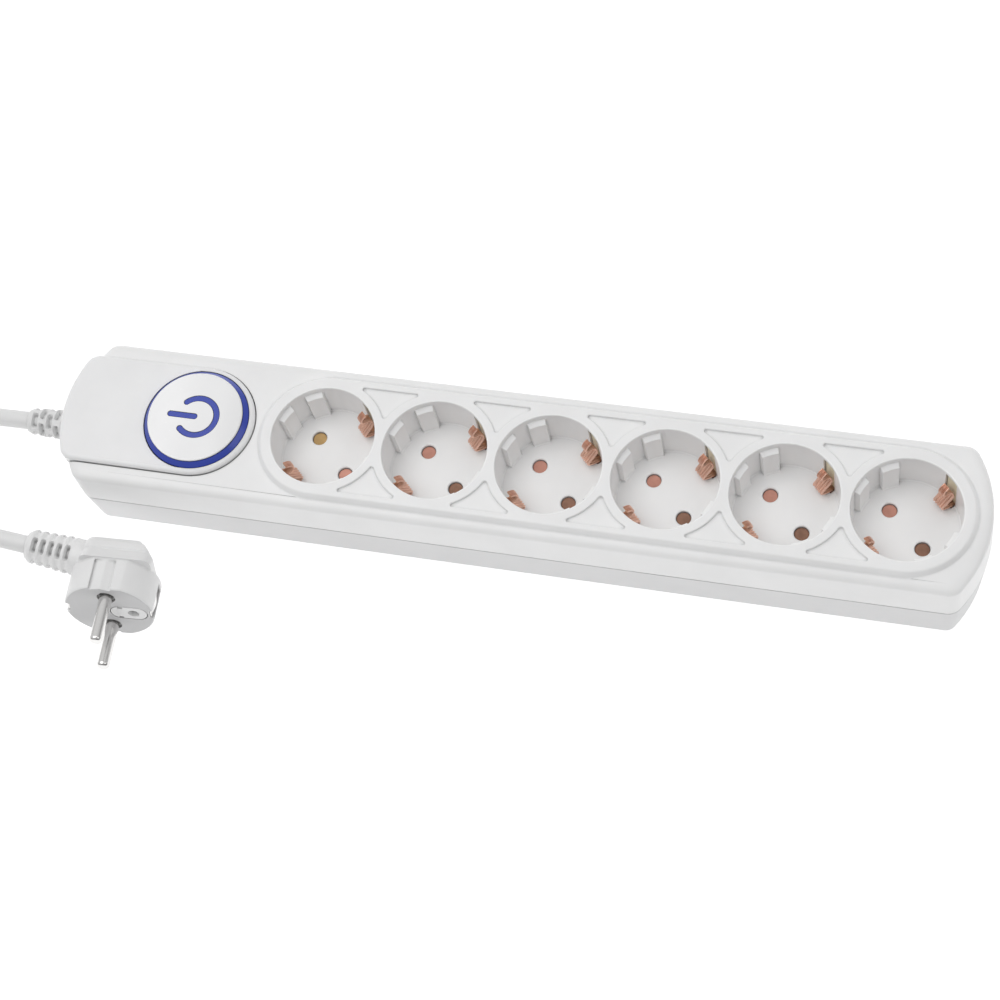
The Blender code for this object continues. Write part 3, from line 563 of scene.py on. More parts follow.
def bowed_end(middle, half, bow, corner, side):
    """One bowed end with two rounded corners, from its -side corner to its +side corner."""
    reach = math.sqrt((bow - corner) ** 2 - (half - corner) ** 2)
    centre = middle - side * bow
    spread = math.atan2(half - corner, reach)
    corner_steps, bow_steps = 14, 24
    points = []
    for k in range(corner_steps):
        turn = -math.pi / 2 + (math.pi / 2 - spread) * k / corner_steps
        x = centre + side * (reach + corner * math.cos(turn))
        points.append((x, corner - half + corner * math.sin(turn)))
    bowed = [spread * (2 * k / bow_steps - 1) for k in range(bow_steps + 1)]
    low = points[:]
    points += [(centre + side * bow * math.cos(t), bow * math.sin(t)) for t in bowed]
    points += [(x, -y) for x, y in reversed(low)]
    return points if side > 0 else [(x, -y) for x, y in points]


def housing_outline(inset):
    """The housing's plan, drawn in by the inset from its widest line."""
    corner = CORNER - min(inset, CORNER - 2)
    right = bowed_end(RIGHT - inset, HALF_WIDTH - inset, BOW - inset, corner, 1)
    left = bowed_end(LEFT + inset, HALF_WIDTH - inset, BOW - inset, corner, -1)
    return right + left


def panel_outline(inset):
    """The switch panel's plan: a bowed nose on the left and a half circle on the right."""
    half = PANEL_HALF - inset
    turns = [math.pi * (k / 64 - 0.5) for k in range(65)]
    right = on_circle(BUTTON_X, 0, half, turns)
    nose = bowed_end(NOSE + inset, half, BOW - inset, max(2.0, CORNER - inset / 2), -1)
    return right + nose


def stadium(radius, count=56):
    """Half circles about the first and the last socket, joined by straight sides."""
    turns = [math.pi * (k / count - 0.5) for k in range(count + 1)]
    return on_circle(SOCKET_X[-1], 0, radius, turns) + on_circle(SOCKET_X[0], 0, -radius, turns)


def arc_points(centre, radius, start, end, count):
    """Points on an arc that runs from one given point's direction to another's, the short way."""
    first = (Vector(start) - Vector(centre)).normalized()
    last = (Vector(end) - Vector(centre)).normalized()
    return [tuple(Vector(centre) + first.slerp(last, k / count) * radius) for k in range(count + 1)]


def pocket_outline(x, side, inset):
    """The three-cornered pocket between two sockets, with sides that follow their rims."""
    ring = WELL_RADIUS + 3.5 + inset
    top = PLATEAU_RADIUS - 2.1 - inset
    tip, corner = 1.0 - inset, 0.7 - inset
    socket = Vector((PITCH / 2, 0))
    tip_spot = Vector((0, math.sqrt((ring + tip) ** 2 - socket.x**2)))
    away = math.sqrt((ring + corner) ** 2 - (top - corner) ** 2)
    corner_spot = Vector((socket.x - away, top - corner))
    low = socket + (tip_spot - socket) * ring / (ring + tip)
    high = socket + (corner_spot - socket) * ring / (ring + corner)
    half = arc_points(tip_spot, tip, (0, tip_spot.y - tip), low, 6)
    half += arc_points(socket, ring, low, high, 20)[1:]
    half += arc_points(corner_spot, corner, high, (corner_spot.x, top), 10)[1:]
    points = half + [(-px, py) for px, py in reversed(half[1:])]
    return [(x + px, side * py) for px, py in points][::side]


def capsule(start, end, width, count=16):
    """A straight stroke with round ends."""
    run = Vector(end) - Vector(start)
    angle = math.atan2(run.y, run.x)
    points = []
    for spot, first in ((end, angle - math.pi / 2), (start, angle + math.pi / 2)):
        turns = [first + math.pi * k / count for k in range(count + 1)]
        points += on_circle(*spot, width / 2, turns)
    return points


def along_x(x, y, z):
    """Lays a shape turned about Z along X, with its top end towards +X."""
    return Matrix.Translation((x, y, z)) @ Matrix.Rotation(math.pi / 2, 4, "Y")


def post(name, x, y, radius, bottom, top, count=32):
    return prism(name, circle(x, y, radius, count), bottom, top)


def eased(share):
    """A share from 0 to 1 that starts and ends gently."""
    share = max(0.0, min(1.0, share))
    return share * share * (3 - 2 * share)


def pin_spots(x):
    reach = Vector((math.cos(PIN_LINE), math.sin(PIN_LINE))) * PIN_SPACING / 2
    return [(x + reach.x, reach.y), (x - reach.x, -reach.y)]


def around_well(piece, x, angle):
    """Turns a shape drawn along +X about a socket's middle."""
    return move(piece, Matrix.Translation((x, 0, 0)) @ Matrix.Rotation(angle, 4, "Z"))


# ---- top cover

RIB_CENTRES = [PIN_LINE + half + side * math.radians(19.5)
               for half in (0, math.pi) for side in (-1, 1)]
RIB_HALF = math.radians(9.8)
RIB_SIDE = math.radians(0.9)


def well_turns():
    """The angles of the well's grid, close together where the ribs' sides are."""
    turns = {round(2 * math.pi * k / 120, 5) for k in range(120)}
    for centre in RIB_CENTRES:
        for way in (-1, 1):
            for step in (-1, 0, 0.35, 0.65, 1, 2):
                turns.add(round((centre + way * (RIB_HALF + step * RIB_SIDE)) % (2 * math.pi), 5))
    spaced = []
    for turn in sorted(turns):
        if not spaced or turn - spaced[-1] > math.radians(0.2):
            spaced.append(turn)
    return spaced


def rib_share(turn):
    """1 on a rib, 0 on the plain wall, and a short slope between."""
    best = 0.0
    for centre in RIB_CENTRES:
        away = abs((turn - centre + math.pi) % (2 * math.pi) - math.pi)
        best = max(best, eased((RIB_HALF + RIB_SIDE - away) / RIB_SIDE))
    return best


def add_well(skin, x, turns):
    """One round well with its four guide ribs, its rounded rim and its floor."""
    rim, foot, rib_top = 0.55, 0.6, HEIGHT - 2.6
    rib_rise = ((0, 0.0), (0.12, 0.12), (0.9, 0.86), (1.1, 0.97), (1.4, 1.0))
    # How much wider the well is, at which height, and the share of the ribs' depth there
    levels = [(rim * (1 - s), HEIGHT - rim * (1 - c), 0.0) for c, s in quarter(5)]
    levels += [(0, rib_top - drop, share) for drop, share in rib_rise]
    levels += [(0, WELL_FLOOR + foot, 1.0)]
    levels += [(-foot * (1 - c), WELL_FLOOR + foot * (1 - s), 1.0) for c, s in quarter(4)[1:]]
    before = set(skin.shape.faces)
    outlines = []
    for wider, z, rib in levels:
        radii = [WELL_RADIUS + wider - RIB_DEPTH * rib * rib_share(t) for t in turns]
        outlines.append([(x + r * math.cos(t), r * math.sin(t), z) for r, t in zip(radii, turns)])
    rings = skin.sweep(outlines)
    for face in set(skin.shape.faces) - before:
        face.material_index = 1  # the cover's second coat, a lighter copy of the white: painted light in the wells
    skin.fill(rings[-1])
    return rings[0]


def add_pocket(skin, x, side):
    """One shallow three-cornered pocket with rounded edges."""
    edge, depth = 0.45, 1.0
    levels = [(edge * s - edge, HEIGHT - edge * (1 - c)) for c, s in quarter(4)]
    levels += [(edge * (1 - c), HEIGHT - depth + edge * (1 - s)) for c, s in quarter(4)]
    rings = skin.sweep([at_height(pocket_outline(x, side, inset), z) for inset, z in levels])
    skin.fill(rings[-1])
    return rings[0]


def cups_outline():
    """The line round all six cups, which meet between the sockets."""
    points = []
    meet = math.acos(PITCH / 2 / CUP_RADIUS)
    for side in (1, -1):
        order = SOCKET_X if side < 0 else SOCKET_X[::-1]
        for k, x in enumerate(order):
            first = 0.0 if k == 0 else meet
            last = math.pi if k == SOCKETS - 1 else math.pi - meet
            turns = [first + (last - first) * step / 24 for step in range(24)]
            points += on_circle(x, 0, side * CUP_RADIUS, turns)
    return points


def slot_cutters():
    """The slots in each well's wall and floor that the earth clips stand in."""
    inner, outer, half = 17.6, CUP_RADIUS + 0.8, 3.1
    slots = []
    for x in SOCKET_X:
        for turn in CLIP_LINES:
            slot = box("slot", (inner, -half, CUP_BOTTOM - 1), (outer, half, HEIGHT - 1.2))
            slots.append(around_well(slot, x, turn))
    return joined(slots)


def pin_hole_cutters():
    """The two pin holes in each well's floor, with their sloped edges."""
    lip = 0.3
    profile = [(PIN_HOLE_RADIUS, CUP_BOTTOM - 1), (PIN_HOLE_RADIUS, WELL_FLOOR - lip),
               (PIN_HOLE_RADIUS + lip, WELL_FLOOR), (PIN_HOLE_RADIUS + lip, WELL_FLOOR + 1)]
    return joined([shift(turned("hole", profile, 32), x, y, 0) for centre in SOCKET_X
                   for x, y in pin_spots(centre)])


def exit_hole():
    """What is cut from both covers for the gland."""
    radius, length = 5.4, 12
    return move(turned("exit", [(radius, 0), (radius, length)], 48),
                along_x(LEFT - length / 2, 0, CORD_HEIGHT))


def build_top_cover():
    """The upper shell: its rounded shoulder, the plateau with its wells, and the cups inside."""
    skin = Skin()
    across, tall = 4.0, 2.5
    profile = [(0.25, PARTING), (0.05, PARTING + 0.25), (0.02, PARTING + 0.5)]
    profile += [(0.4 + across * (1 - c), SHOULDER - tall + tall * s) for c, s in quarter(10)]
    outer = skin.sweep([at_height(housing_outline(inset), z) for inset, z in profile])
    wall = [(PLATEAU_FOOT + 0.5, SHOULDER), (PLATEAU_FOOT + 0.15, SHOULDER + 0.07),
            (PLATEAU_FOOT - 0.1, SHOULDER + 0.28), (PLATEAU_RADIUS + 0.55, HEIGHT - 0.75),
            (PLATEAU_RADIUS + 0.25, HEIGHT - 0.32), (PLATEAU_RADIUS - 0.1, HEIGHT - 0.08),
            (PLATEAU_RADIUS - 0.6, HEIGHT)]
    plateau = skin.sweep([at_height(stadium(radius), z) for radius, z in wall])
    skin.fill(outer[-1], plateau[0])
    turns = well_turns()
    rims = [add_well(skin, x, turns) for x in SOCKET_X]
    rims += [add_pocket(skin, x, side) for x in GAP_X for side in (-1, 1)]
    skin.fill(plateau[-1], *rims)
    inner = skin.sweep([at_height(housing_outline(WALL), PARTING),
                        at_height(housing_outline(WALL + 0.4), SHOULDER - WALL)])
    skin.fill(outer[0], inner[0])
    cups = skin.sweep([at_height(cups_outline(), z) for z in (SHOULDER - WALL, CUP_BOTTOM)])
    skin.fill(inner[-1], cups[0])
    skin.fill(cups[-1])
    piece = skin.made("top_shell", "white_plastic")
    # The wells get the lighter copy of the white: painted light.
    piece.data.materials.append(COATS["lit_well_plastic"])
    cut(piece, slot_cutters())
    cut(piece, pin_hole_cutters())
    add(piece, joined([post("boss", x, y, 3.4, 9.3, SHOULDER - 1) for x, y in SCREW_SPOTS]))
    cut(piece, joined([post("pilot", x, y, SCREW_PILOT, 8, 22) for x, y in SCREW_SPOTS]))
    cut(piece, prism("notch", panel_outline(-0.35), PANEL_BOTTOM - 0.3, HEIGHT + 2))
    cut(piece, exit_hole())
    return finish_piece(shade(piece), "housing", "white_plastic", "top_cover")


# ---- bottom cover

def build_bottom_cover():
    """The lower shell: its lip, the posts and guides inside, and the two keyholes below."""
    top, lip, lip_metal = PARTING - PARTING_GAP, WALL + 0.3, 1.1
    clamp_x = LEFT + 13
    clamp_spots = [(clamp_x, y) for y in (-8.5, 8.5)]
    switch_spots = [(BUTTON_X, y) for y in (-16.5, 16.5)]
    profile = [(3.2, 0), (2.5, 0.06), (1.9, 0.35), (1.55, 0.9), (1.4, 1.7), (0.12, top - 0.5),
               (0.14, top - 0.2), (0.35, top), (lip, top), (lip, top + 1.8), (lip + 0.2, top + 2),
               (lip + lip_metal, top + 2), (lip + lip_metal, top - 4), (WALL + 1.2, WALL)]
    skin = Skin()
    rings = skin.sweep([at_height(housing_outline(inset), z) for inset, z in profile])
    skin.fill(rings[0])
    skin.fill(rings[-1])
    piece = skin.made("bottom_shell", "lower_plastic")
    low, high = place_of("live_rail")
    add(piece, joined([box("guide", (low.x, y - 0.7, 2), (high.x, y + 0.7, 9))
                       for y in (-11.3, -2.4, 2.4, 11.3)]))
    add(piece, joined([post("post", x, y, 4.3, 2, 9) for x, y in SCREW_SPOTS]))
    saddle_top = CORD_HEIGHT - CORD_RADIUS - 0.3
    add(piece, box("saddle", (clamp_x - 2.5, -12, 2), (clamp_x + 2.5, 12, saddle_top)))
    add(piece, joined([post("post", x, y, 3.2, 3, 22.5) for x, y in clamp_spots]
                      + [post("post", x, y, 3.0, 2, 7.7) for x, y in switch_spots]))
    cut(piece, joined([post("sink", x, y, 3.1, -1, 5) for x, y in SCREW_SPOTS]))
    cut(piece, joined([post("through", x, y, SCREW_PILOT, 4, 10) for x, y in SCREW_SPOTS]
                      + [post("pilot", x, y, 1.5, 12, 24) for x, y in clamp_spots]
                      + [post("pilot", x, y, 1.5, 4, 9) for x, y in switch_spots]))
    reach, depth = 3, 3.4
    for x in (LEFT + 28, RIGHT - 10.2):
        add(piece, prism("pad", capsule((x - reach, 0), (x + reach, 0), 10.6), 1, depth + 2))
        cut(piece, post("head", x - reach, 0, 3.8, -1, depth, 48))
        cut(piece, prism("neck", capsule((x - reach, 0), (x + reach, 0), 4.2), -1, depth))
    cut(piece, exit_hole())
    return finish_piece(shade(piece), "housing", "white_plastic", "bottom_cover")


# ---- switch

def build_panel():
    """The raised switch panel, with its rounded edge and the bore that the button moves in."""
    wide, tall, lip = 1.9, 1.5, 0.25
    bore = BUTTON_RADIUS + 0.3
    profile = [(0.0, PANEL_BOTTOM), (0.0, HEIGHT - tall - 0.3)]
    profile += [(wide * (1 - c), HEIGHT - tall + tall * s) for c, s in quarter(8)]
    skin = Skin()
    outer = skin.sweep([at_height(panel_outline(inset), z) for inset, z in profile])
    hole = [(bore + lip * (1 - s), HEIGHT - lip * (1 - c)) for s, c in quarter(3)][::-1]
    hole.append((bore, PANEL_BOTTOM))
    inner = skin.sweep([at_height(circle(BUTTON_X, 0, radius, 144), z) for radius, z in hole])
    skin.fill(outer[-1], inner[0])
    skin.fill(outer[0], inner[-1])
    piece = skin.made("panel_frame", "panel_plastic")
    return finish_piece(shade(piece), "housing", "white_plastic", "switch_panel")


def symbol(width, bottom, top):
    """The power symbol's arc and bar, turned so that its opening faces the cord."""
    radius, arc_x, sweep, steps = 7.7, 0.8, math.radians(134), 72
    turns = [sweep * (2 * k / steps - 1) for k in range(steps + 1)]
    edge = on_circle(0, 0, radius + width / 2, turns)
    for way, side in ((1, turns), (-1, turns[::-1])):
        spot = Vector((math.cos(side[-1]), math.sin(side[-1]))) * radius
        first = side[-1] + (0 if way > 0 else math.pi)
        edge += on_circle(*spot, width / 2, [first + math.pi * k / 12 for k in range(1, 12)])
        if way > 0:
            edge += on_circle(0, 0, radius - width / 2, turns[::-1])
    arc = prism("arc", edge, bottom, top)
    bar = prism("bar", capsule((-9.7, 0), (-0.1, 0), width), bottom, top)
    return joined([shift(arc, arc_x, 0, 0), bar])


def build_button():
    """The blue lens with its sloped side, and the white cap that its symbol shows through."""
    outer = [(18.5, 34.8), (20.1, 34.8), (20.3, 35.0), (20.3, 39.7), (20.24, 39.95), (20.1, 40.1),
             (18.7, 41.45), (18.5, 41.55)]
    lens = turned("lens_ring", outer + [(18.5, 39.4)], 160, "blue_lens", closed=True)
    top = turned("top", [(18.7, 39.4), (18.7, 41.4)], 160, "blue_lens")
    add(lens, top)
    add(lens, symbol(2.05, 41.0, 42.45))
    disc = [(18.3, 41.85), (18.4, 41.95), (18.4, 42.25), (18.3, 42.45), (18.1, 42.56), (17.7, 42.6)]
    cap = turned("button_face", disc, 160, "cap_plastic")
    cut(cap, symbol(2.5, 41, 44))
    for piece, slot, node in ((lens, "blue_lens", "button_lens"),
                              (cap, "white_plastic", "button_cap")):
        finish_piece(shade(shift(piece, BUTTON_X, 0, 0), 25), "button", slot, node)


def build_spring():
    """The coiled return spring under the button."""
    low, high = place_of("return_spring")
    turns, wire, steps, around = 6.5, 0.7, 26, 12
    radius = (high.x - low.x) / 2 - wire
    count = round(turns * steps)
    rise = (high.z - low.z - 2 * wire) / count
    rings = []
    for k in range(count + 1):
        turn = 2 * math.pi * k / steps
        out = Vector((math.cos(turn), math.sin(turn), 0))
        middle = Vector((BUTTON_X, 0, low.z + wire + rise * k)) + out * radius
        rings.append([middle + wire * (out * math.cos(a) + Vector((0, 0, math.sin(a))))
                      for a in (2 * math.pi * j / around for j in range(around))])
    spring = shade(loft("spring_coil", rings, "steel"))
    finish_piece(spring, "housing", "steel", "return_spring")
    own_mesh(spring)


# ---- contacts

def smooth_line(points, steps):
    """A smooth line through the points, with a number of steps between each two."""
    spots = [Vector(p) for p in points]
    ends = [2 * spots[0] - spots[1]] + spots + [2 * spots[-1] - spots[-2]]
    line = []
    for a, b, c, d in zip(ends, ends[1:], ends[2:], ends[3:]):
        for k in range(steps):
            t = k / steps
            line.append(0.5 * (2 * b + (c - a) * t + (2 * a - 5 * b + 4 * c - d) * t**2
                               + (3 * b - a - 3 * c + d) * t**3))
    return line + [spots[-1]]


def ribbon(name, line, widths, ridge, coat):
    """Bent strip metal with lengthwise ridges, from a line of (x, z) points and its widths."""
    across, ridges, edge, edge_share = 24, 5, 0.99, 0.55
    rings = []
    for k, spot in enumerate(line):
        ahead = line[min(k + 1, len(line) - 1)] - line[max(k - 1, 0)]
        side = Vector((-ahead.y, ahead.x)).normalized()
        ring = []
        for way in (1, -1):
            for j in range(across + 1):
                share = (2 * j / across - 1) * way
                thin = 0.5 * CLIP_METAL * (1 if abs(share) < edge else edge_share)
                wave = ridge * math.cos(share * ridges * math.pi) * (1 - share**8)
                point = spot + side * (way * thin + wave)
                ring.append((point.x, -share * widths[k] / 2, point.y))
        rings.append(ring)
    return loft(name, rings, coat)


def build_clips():
    """Each socket's two sprung earth clips, on the one strip that runs under its floor."""
    half = [(19.1, 19.9), (19.0, 22.2), (16.6, 23.4), (14.5, 24.9), (14.4, 25.8), (15.4, 26.8),
            (18.6, 29.9), (19.0, 30.8), (18.2, 31.6), (16.0, 32.5), (15.3, 33.8), (16.1, 35.4),
            (17.7, 36.3)]
    wide = [5.4] * 6 + [5.6, 4.3] + [2.9] * 5
    steps = 7
    line = smooth_line([(-r, z) for r, z in reversed(half)] + half, steps)
    spread = smooth_line([(w, 0) for w in wide[::-1] + wide], steps)
    for k, x in enumerate(SOCKET_X):
        clip = ribbon(f"earth_clip_{k + 1}", line, [w.x for w in spread], 0.22, "copper")
        around_well(clip, x, CLIP_LINES[0])
        finish_piece(shade(clip, 50), "housing", "copper", f"earth_bracket_{k + 1}")


def build_mouths():
    """The sprung contact mouth that shows at the bottom of each pin hole, on its rail."""
    profile = [(2.0, 19.0), (3.0, 19.05), (3.0, 19.3), (2.7, 20.3), (2.7, 21.2), (2.6, 21.35),
               (2.4, 21.35), (0.2, 21.25)]
    for k, x in enumerate(SOCKET_X):
        # Painted light and shade: the first socket's far contact gets a brassy glint tone and its
        # near one pink copper; in the other sockets the far contact is pink copper and the near one
        # a shaded dark copper.
        coats = ("brass", "pink_copper") if k == 0 else ("pink_copper", "dull_copper")
        for (px, py), name, coat in zip(pin_spots(x), ("live", "neutral"), coats):
            mouth = turned(f"{name}_contact_{k + 1}", profile, 40, coat)
            finish_piece(shade(shift(mouth, px, py, 0)), "housing", "copper")


def build_liners():
    """The cream lining behind each earth clip's slot."""
    inner, outer, half = 20.3, 21.0, 2.95
    for k, x in enumerate(SOCKET_X):
        plates = []
        for turn in CLIP_LINES:
            plate = box("plate", (inner, -half, CUP_BOTTOM + 0.3), (outer, half, HEIGHT - 1.4),
                        "cream_plastic")
            plates.append(around_well(soften(plate, 0.2, 2), x, turn))
        finish_piece(shade(joined(plates)), "housing", "white_plastic").name = f"slot_liner_{k + 1}"


# ---- cord

def sleeve(name, before, length, radius_at, slots, after, coat):
    """A strain relief turned about Z: a sleeve with rounded slots between two plain stretches.

    Four slots stand round each column, and every other column is turned on by the stagger.
    """
    columns, turn, stagger, half_long, half_wide, depth = slots
    count, ring_step, edge = 132, 0.28, 0.5
    rim_away, rim_half, rim_height = 0.45, 0.4, 0.16
    turns = [2 * math.pi * k / count for k in range(count)]
    rings = [at_height(circle(0, 0, radius, count), z) for radius, z in before]
    steps = round(length / ring_step)
    for step in range(steps + 1):
        z = length * step / steps
        ring = []
        for t in turns:
            radius = radius_at(z)
            dip = rim = 0.0
            for k, column in enumerate(columns):
                if abs(z - column) < half_wide + 1:
                    first = turn + (k % 2) * stagger
                    away = abs((t - first + math.pi / 4) % (math.pi / 2) - math.pi / 4) * radius
                    gap = math.hypot(max(0.0, away - half_long + half_wide), z - column) - half_wide
                    dip = max(dip, eased(0.5 - gap / edge))
                    rim = max(rim, 1 - abs(gap - rim_away) / rim_half)
            radius += rim_height * eased(rim) - depth * dip
            ring.append((radius * math.cos(t), radius * math.sin(t), z))
        rings.append(ring)
    rings += [at_height(circle(0, 0, radius, count), z) for radius, z in after]
    return loft(name, rings, coat)


def build_gland():
    """The ribbed sleeve that the cord leaves through, held by its flange inside the end wall."""
    length = LEFT - 0.3 - GLAND_TIP
    slots = ([3.4 + 3.1 * k for k in range(6)], math.radians(20), math.pi / 4, 3.1, 0.95, 1.9)
    before = [(3.6, 4.5), (3.6, 0.3), (3.8, 0.0), (4.3, 0.0)]
    after = [(5.0, length + 0.05), (5.0, length + 5), (7.2, length + 5), (7.2, length + 7),
             (4.6, length + 7.4)]

    def radius_at(z):
        return 5.0 + 1.2 * z / length - 0.5 * (1 - eased(z / 1.2))

    gland = sleeve("strain_relief", before, length, radius_at, slots, after, "cord_plastic")
    move(gland, along_x(GLAND_TIP, 0, CORD_HEIGHT))
    return finish_piece(shade(gland, 50), "housing", "cord_plastic", "cord_gland")


def coil_line():
    """The coil's turns: inwards on the floor, up at the inner turn, and outwards on top."""
    turns = COIL_TURNS + (TAIL_TURN - LEAD_TURN) / (2 * math.pi) - (COIL_TURNS % 1)
    half, layer, soft, climb = turns / 2, 2 * CORD_RADIUS + 0.2, 0.1, 0.7
    tie_lift, tie_reach = 0.9, 0.5  # the coil rises a little, so that the strap passes under it
    count = round(turns * 20)
    points = []
    for k in range(count + 1):
        turn = LEAD_TURN + 2 * math.pi * turns * k / count
        along = turns * k / count - half
        out = (math.hypot(along, soft) - soft) / (math.hypot(half, soft) - soft)
        radius = COIL_RADIUS + COIL_SPREAD * (2 * out - 1)
        height = CORD_RADIUS + 0.1 + layer * eased(0.5 + along / climb)
        away = abs((turn - TIE_TURN + math.pi) % (2 * math.pi) - math.pi)
        height += tie_lift * (1 - eased(away / tie_reach))
        spot = COIL_CENTRE + radius * Vector((math.cos(turn), math.sin(turn)))
        points.append(Vector((*spot, height)))
    return points


def beside_coil(turn, way, steps):
    """Points on the line that touches the outer turn, given as (distance, height) pairs."""
    reach = COIL_RADIUS + COIL_SPREAD
    touch = COIL_CENTRE + reach * Vector((math.cos(turn), math.sin(turn)))
    run = way * Vector((-math.sin(turn), math.cos(turn)))
    return [Vector((*(touch + run * away), height)) for away, height in steps]


def build_cord():
    """The cord in one piece: from the gland to the coil, round it, and on to the plug."""
    tip = GLAND_TIP - 0.3
    lead = [(tip + 3.3, 0, CORD_HEIGHT), (tip, 0, CORD_HEIGHT), (tip - 7, 0.05, 18.8),
            (tip - 15, 0.6, 17.5), (tip - 24, 2.9, 14.7), (tip - 33, 6.4, 11.2)]
    lead += beside_coil(LEAD_TURN, -1, [(35.9, 7.8), (26.9, 5.2), (18, 4.1), (9, 3.65)])
    tail = beside_coil(TAIL_TURN, 1, [(9, 10.8), (18, 10.9), (26.9, 11.3), (35.9, 12.3)])
    tail += [(-219, -55.6, 15.6), (-204.5, -52.9, 19.5), (-191.5, -51.7, 21.7),
             (-182.8, -51.7, 21.9)]
    tail += [plug_matrix() @ (RELIEF_END + RELIEF_RUN * step) for step in (6, 0.3, -3)]
    route = [Vector(p) * MM for p in lead + coil_line() + tail]
    curve = bpy.data.curves.new("cord", "CURVE")
    curve.dimensions = "3D"
    curve.bevel_depth = CORD_RADIUS * MM
    curve.bevel_resolution = 7
    curve.resolution_u = 5
    curve.use_fill_caps = True
    line = curve.splines.new("BEZIER")
    line.bezier_points.add(len(route) - 1)
    for point, spot in zip(line.bezier_points, route):
        point.co = spot
        point.handle_left_type = "AUTO"
        point.handle_right_type = "AUTO"
    curve.materials.append(COATS["cord_plastic"])
    return finish_piece(put("cord", curve), "housing", "cord_plastic", "cord_lead", "cord_coil",
                        "cord_tail")


def build_tie():
    """The tie that holds the coil together: a strap with a flat head."""
    half_wide, half_tall, corner, metal = COIL_SPREAD + CORD_RADIUS + 0.9, 7.85, 4.0, 0.8
    side, rise, band, head = half_wide - metal - corner, half_tall - metal - corner, 2.2, 3.4
    outer = corner + metal
    rings = []
    for y, radius in ((band, corner), (-band, corner), (-band, outer), (band, outer)):
        rings.append([(COIL_RADIUS + x, y, half_tall + 0.05 + z)
                      for x, z in rounded(-side, side, -rise, rise, radius)])
    tie = ring_loft("cord_tie", rings, "grey_plastic")
    add(tie, box("head", (COIL_RADIUS - head, -head, 2 * half_tall - 0.6),
                 (COIL_RADIUS + head, head, 2 * half_tall + 2.2), "grey_plastic"))
    move(tie, Matrix.Translation((*COIL_CENTRE, 0)) @ Matrix.Rotation(TIE_TURN, 4, "Z"))
    return finish_piece(shade(soften(tie, 0.25, 2)), "housing", "grey_plastic")


# ---- plug

def plug_matrix():
    """The lying plug's frame: Z runs out along its pins, X points away from the cord."""
    flat = math.cos(PLUG_TILT)
    out = Vector((math.sin(PLUG_YAW) * flat, -math.cos(PLUG_YAW) * flat, math.sin(PLUG_TILT)))
    level = Vector((math.cos(PLUG_YAW), math.sin(PLUG_YAW), 0))
    up = out.cross(level)
    x = level * math.cos(PLUG_ROLL) + up * math.sin(PLUG_ROLL)
    y = out.cross(x)
    return Matrix.Translation(PLUG_FACE) @ Matrix((x, y, out)).transposed().to_4x4()


def plug_section(depth, inset=0.0):
    """The part that enters a socket: a circle with two flats."""
    flat = PLUG_FLAT - inset
    points = circle(0, 0, PLUG_RADIUS - inset, 120)
    return at_height([(x, max(-flat, min(flat, y))) for x, y in points], -depth)


def grip_section(depth, half):
    """The part that is held: a rounded rectangle, offset away from the cord."""
    left, right, corner = -13, 14.5, 4.0
    points = rounded(left + corner, right - corner, corner - half, half - corner, corner)
    return at_height(points, -depth)


def remesh(piece, voxel, smoothing):
    """Fuses the shapes into one skin and rounds their edges, as on a moulded soft plastic."""
    fuse = piece.modifiers.new("fuse", "REMESH")
    fuse.mode = "VOXEL"
    fuse.voxel_size = voxel * MM
    relax = piece.modifiers.new("relax", "SMOOTH")
    relax.factor = 0.5
    relax.iterations = smoothing
    coat = piece.data.materials[0]
    apply_modifiers(piece)
    piece.data.materials.clear()
    piece.data.materials.append(coat)
    return piece


def build_relief():
    """The plug's slotted strain relief, in the plug's own frame."""
    length, pitch = (RELIEF_END - RELIEF_START).length, 3.35
    columns = [length - 3.9 - pitch * k for k in range(5)]
    slots = (columns, math.radians(66), 0.0, 2.9, 0.8, 2.1)
    after = [(4.9, length + 0.15), (3.9, length + 0.15), (3.6, length - 0.1), (3.6, length - 4.5)]

    def radius_at(z):
        waist = 0.28 * math.cos((z - columns[0]) / pitch * 2 * math.pi) * eased((z - 8) / 4)
        return (7.3 - 1.0 * eased((z - 2) / (length - 3)) - waist
                - 0.8 * eased((z - length + 1.2) / 1.2))

    relief = sleeve("relief", [(7.3, -3.0)], length, radius_at, slots, after, "plug_plastic")
    turn = RELIEF_RUN.to_track_quat("Z", "Y").to_matrix().to_4x4()
    return move(relief, Matrix.Translation(RELIEF_START) @ turn)


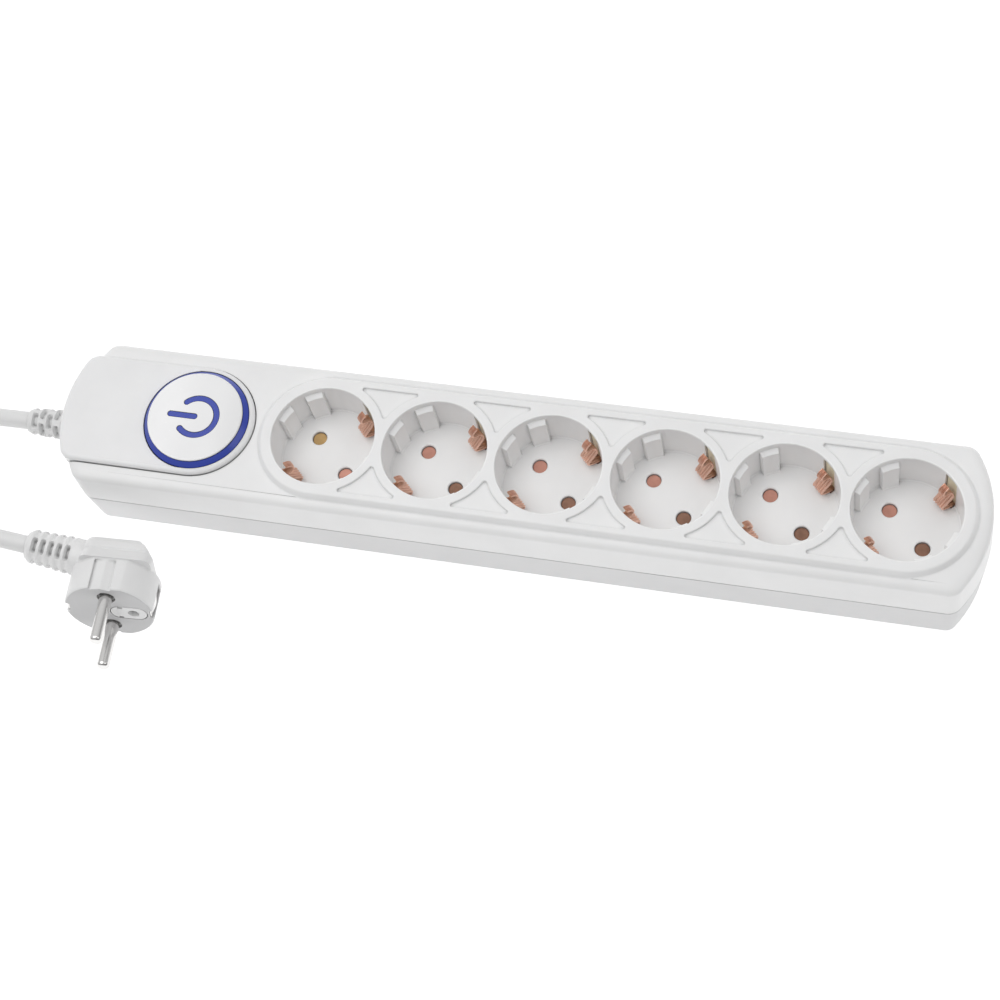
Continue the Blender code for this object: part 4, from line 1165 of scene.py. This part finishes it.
def build_plug_body(place):
    """The soft body with its strain relief, its sloped back and its pin holes."""
    sections = [plug_section(14.4), plug_section(0.5), plug_section(0, 0.45)]
    body = loft("plug_shell", sections, "plug_plastic")
    grip = ((26.2, 9.6), (23.5, 11.7), (23.1, 12.6), (19.9, 13.6), (19.5, 12.8), (13.4, 16.8))
    add(body, loft("grip", [grip_section(depth, half) for depth, half in grip], "plug_plastic"))
    slope = [(20.2, -10.5), (30, -10.5), (30, -33), (2.2, -33)]
    cut(body, loft("slope", [[(x, y, z) for x, z in slope] for y in (-22, 22)], "plug_plastic"))
    for way in (-1, 1):
        ridge = [(-6.0, 17), (-6.0, 14.6), (-1.7, 15.8), (2.2, 14.6), (2.2, 17)]
        cut(body, prism("ridge", [(x, way * y) for x, y in ridge], -12.8, 1))
        low, high = sorted((way * 15.2, way * 20))
        cut(body, box("notch", (low, -2.6, -12.4), (high, 2.6, 1)))
    remesh(body, voxel=0.3, smoothing=3)
    add(body, build_relief())
    root = [(2.7, -12.3), (2.7, -1.2), (3.5, -1.1), (3.5, 1)]
    cut(body, joined([shift(turned("root", root, 48), 0, y, 0)
                      for y in (-PIN_SPACING / 2, PIN_SPACING / 2)]))
    cut(body, prism("seat", capsule(*EARTH_SEAT, 8.4), -6.3, 1))
    # The front face gets the darker copy of the plug's plastic: painted shade.
    body.data.materials.append(COATS["shaded_plug_front"])
    for face in body.data.polygons:
        if face.normal.z > 0.8 and face.center.z > -0.5 * MM:
            face.material_index = 1
    return finish_piece(shade(move(body, place), 40), "housing", "cord_plastic", "plug_body")


def build_plug():
    """The plug's five kinds of piece, all in the plug's own frame and then laid down."""
    place = plug_matrix()
    made = [build_plug_body(place)]
    tip = 1.2
    profile = [(PIN_RADIUS, -12), (PIN_RADIUS, PIN_LENGTH - tip)]
    profile += [(PIN_RADIUS - tip * (1 - c), PIN_LENGTH - tip + tip * s) for c, s in quarter(6)]
    for k, way in enumerate((1, -1)):
        pin = turned(f"contact_pin_{k + 1}", profile, 48, "nickel")
        move(shift(pin, 0, way * PIN_SPACING / 2, 0), place)
        made.append(finish_piece(shade(pin), "housing", "nickel", f"plug_pin_{k + 1}"))

    steps, wide = 20, 4.4
    line = [Vector((15.6 + 0.5 * math.sin(math.pi * s / steps) ** 2, -12.0 + 11.4 * s / steps))
            for s in range(steps + 1)]
    for k, way in enumerate((1, -1)):
        strip = ribbon(f"earth_strip_{k + 1}", line, [wide] * len(line), 0.0, "nickel")
        move(strip, place @ Matrix.Rotation(0 if way > 0 else math.pi, 4, "Z"))
        made.append(finish_piece(shade(strip), "housing", "nickel", f"plug_earth_strip_{k + 1}"))

    insert = prism("earth_insert", capsule(*EARTH_SEAT, 7.9), -6.0, 0.1, "insert_plastic")
    soften(insert, 0.35, 3)
    cut(insert, post("hole", 9.2, 0, 2.2, -5, 1, 48))
    cut(insert, joined([box("slit", (3.4, y - 0.4, -2.5), (5.2, y + 0.4, 1)) for y in (-3.2, 3.2)]))
    move(insert, place)
    made.append(finish_piece(shade(insert), "housing", "cord_plastic", "plug_earth_socket"))
    return made


# ---- making it all


add_camera()
add_stage()
dress_frame()
cord = build_cord()
gland = build_gland()
tie = build_tie()
plug = build_plug()
build_top_cover()
build_bottom_cover()
build_panel()
build_button()
build_spring()
build_clips()
build_mouths()
build_liners()
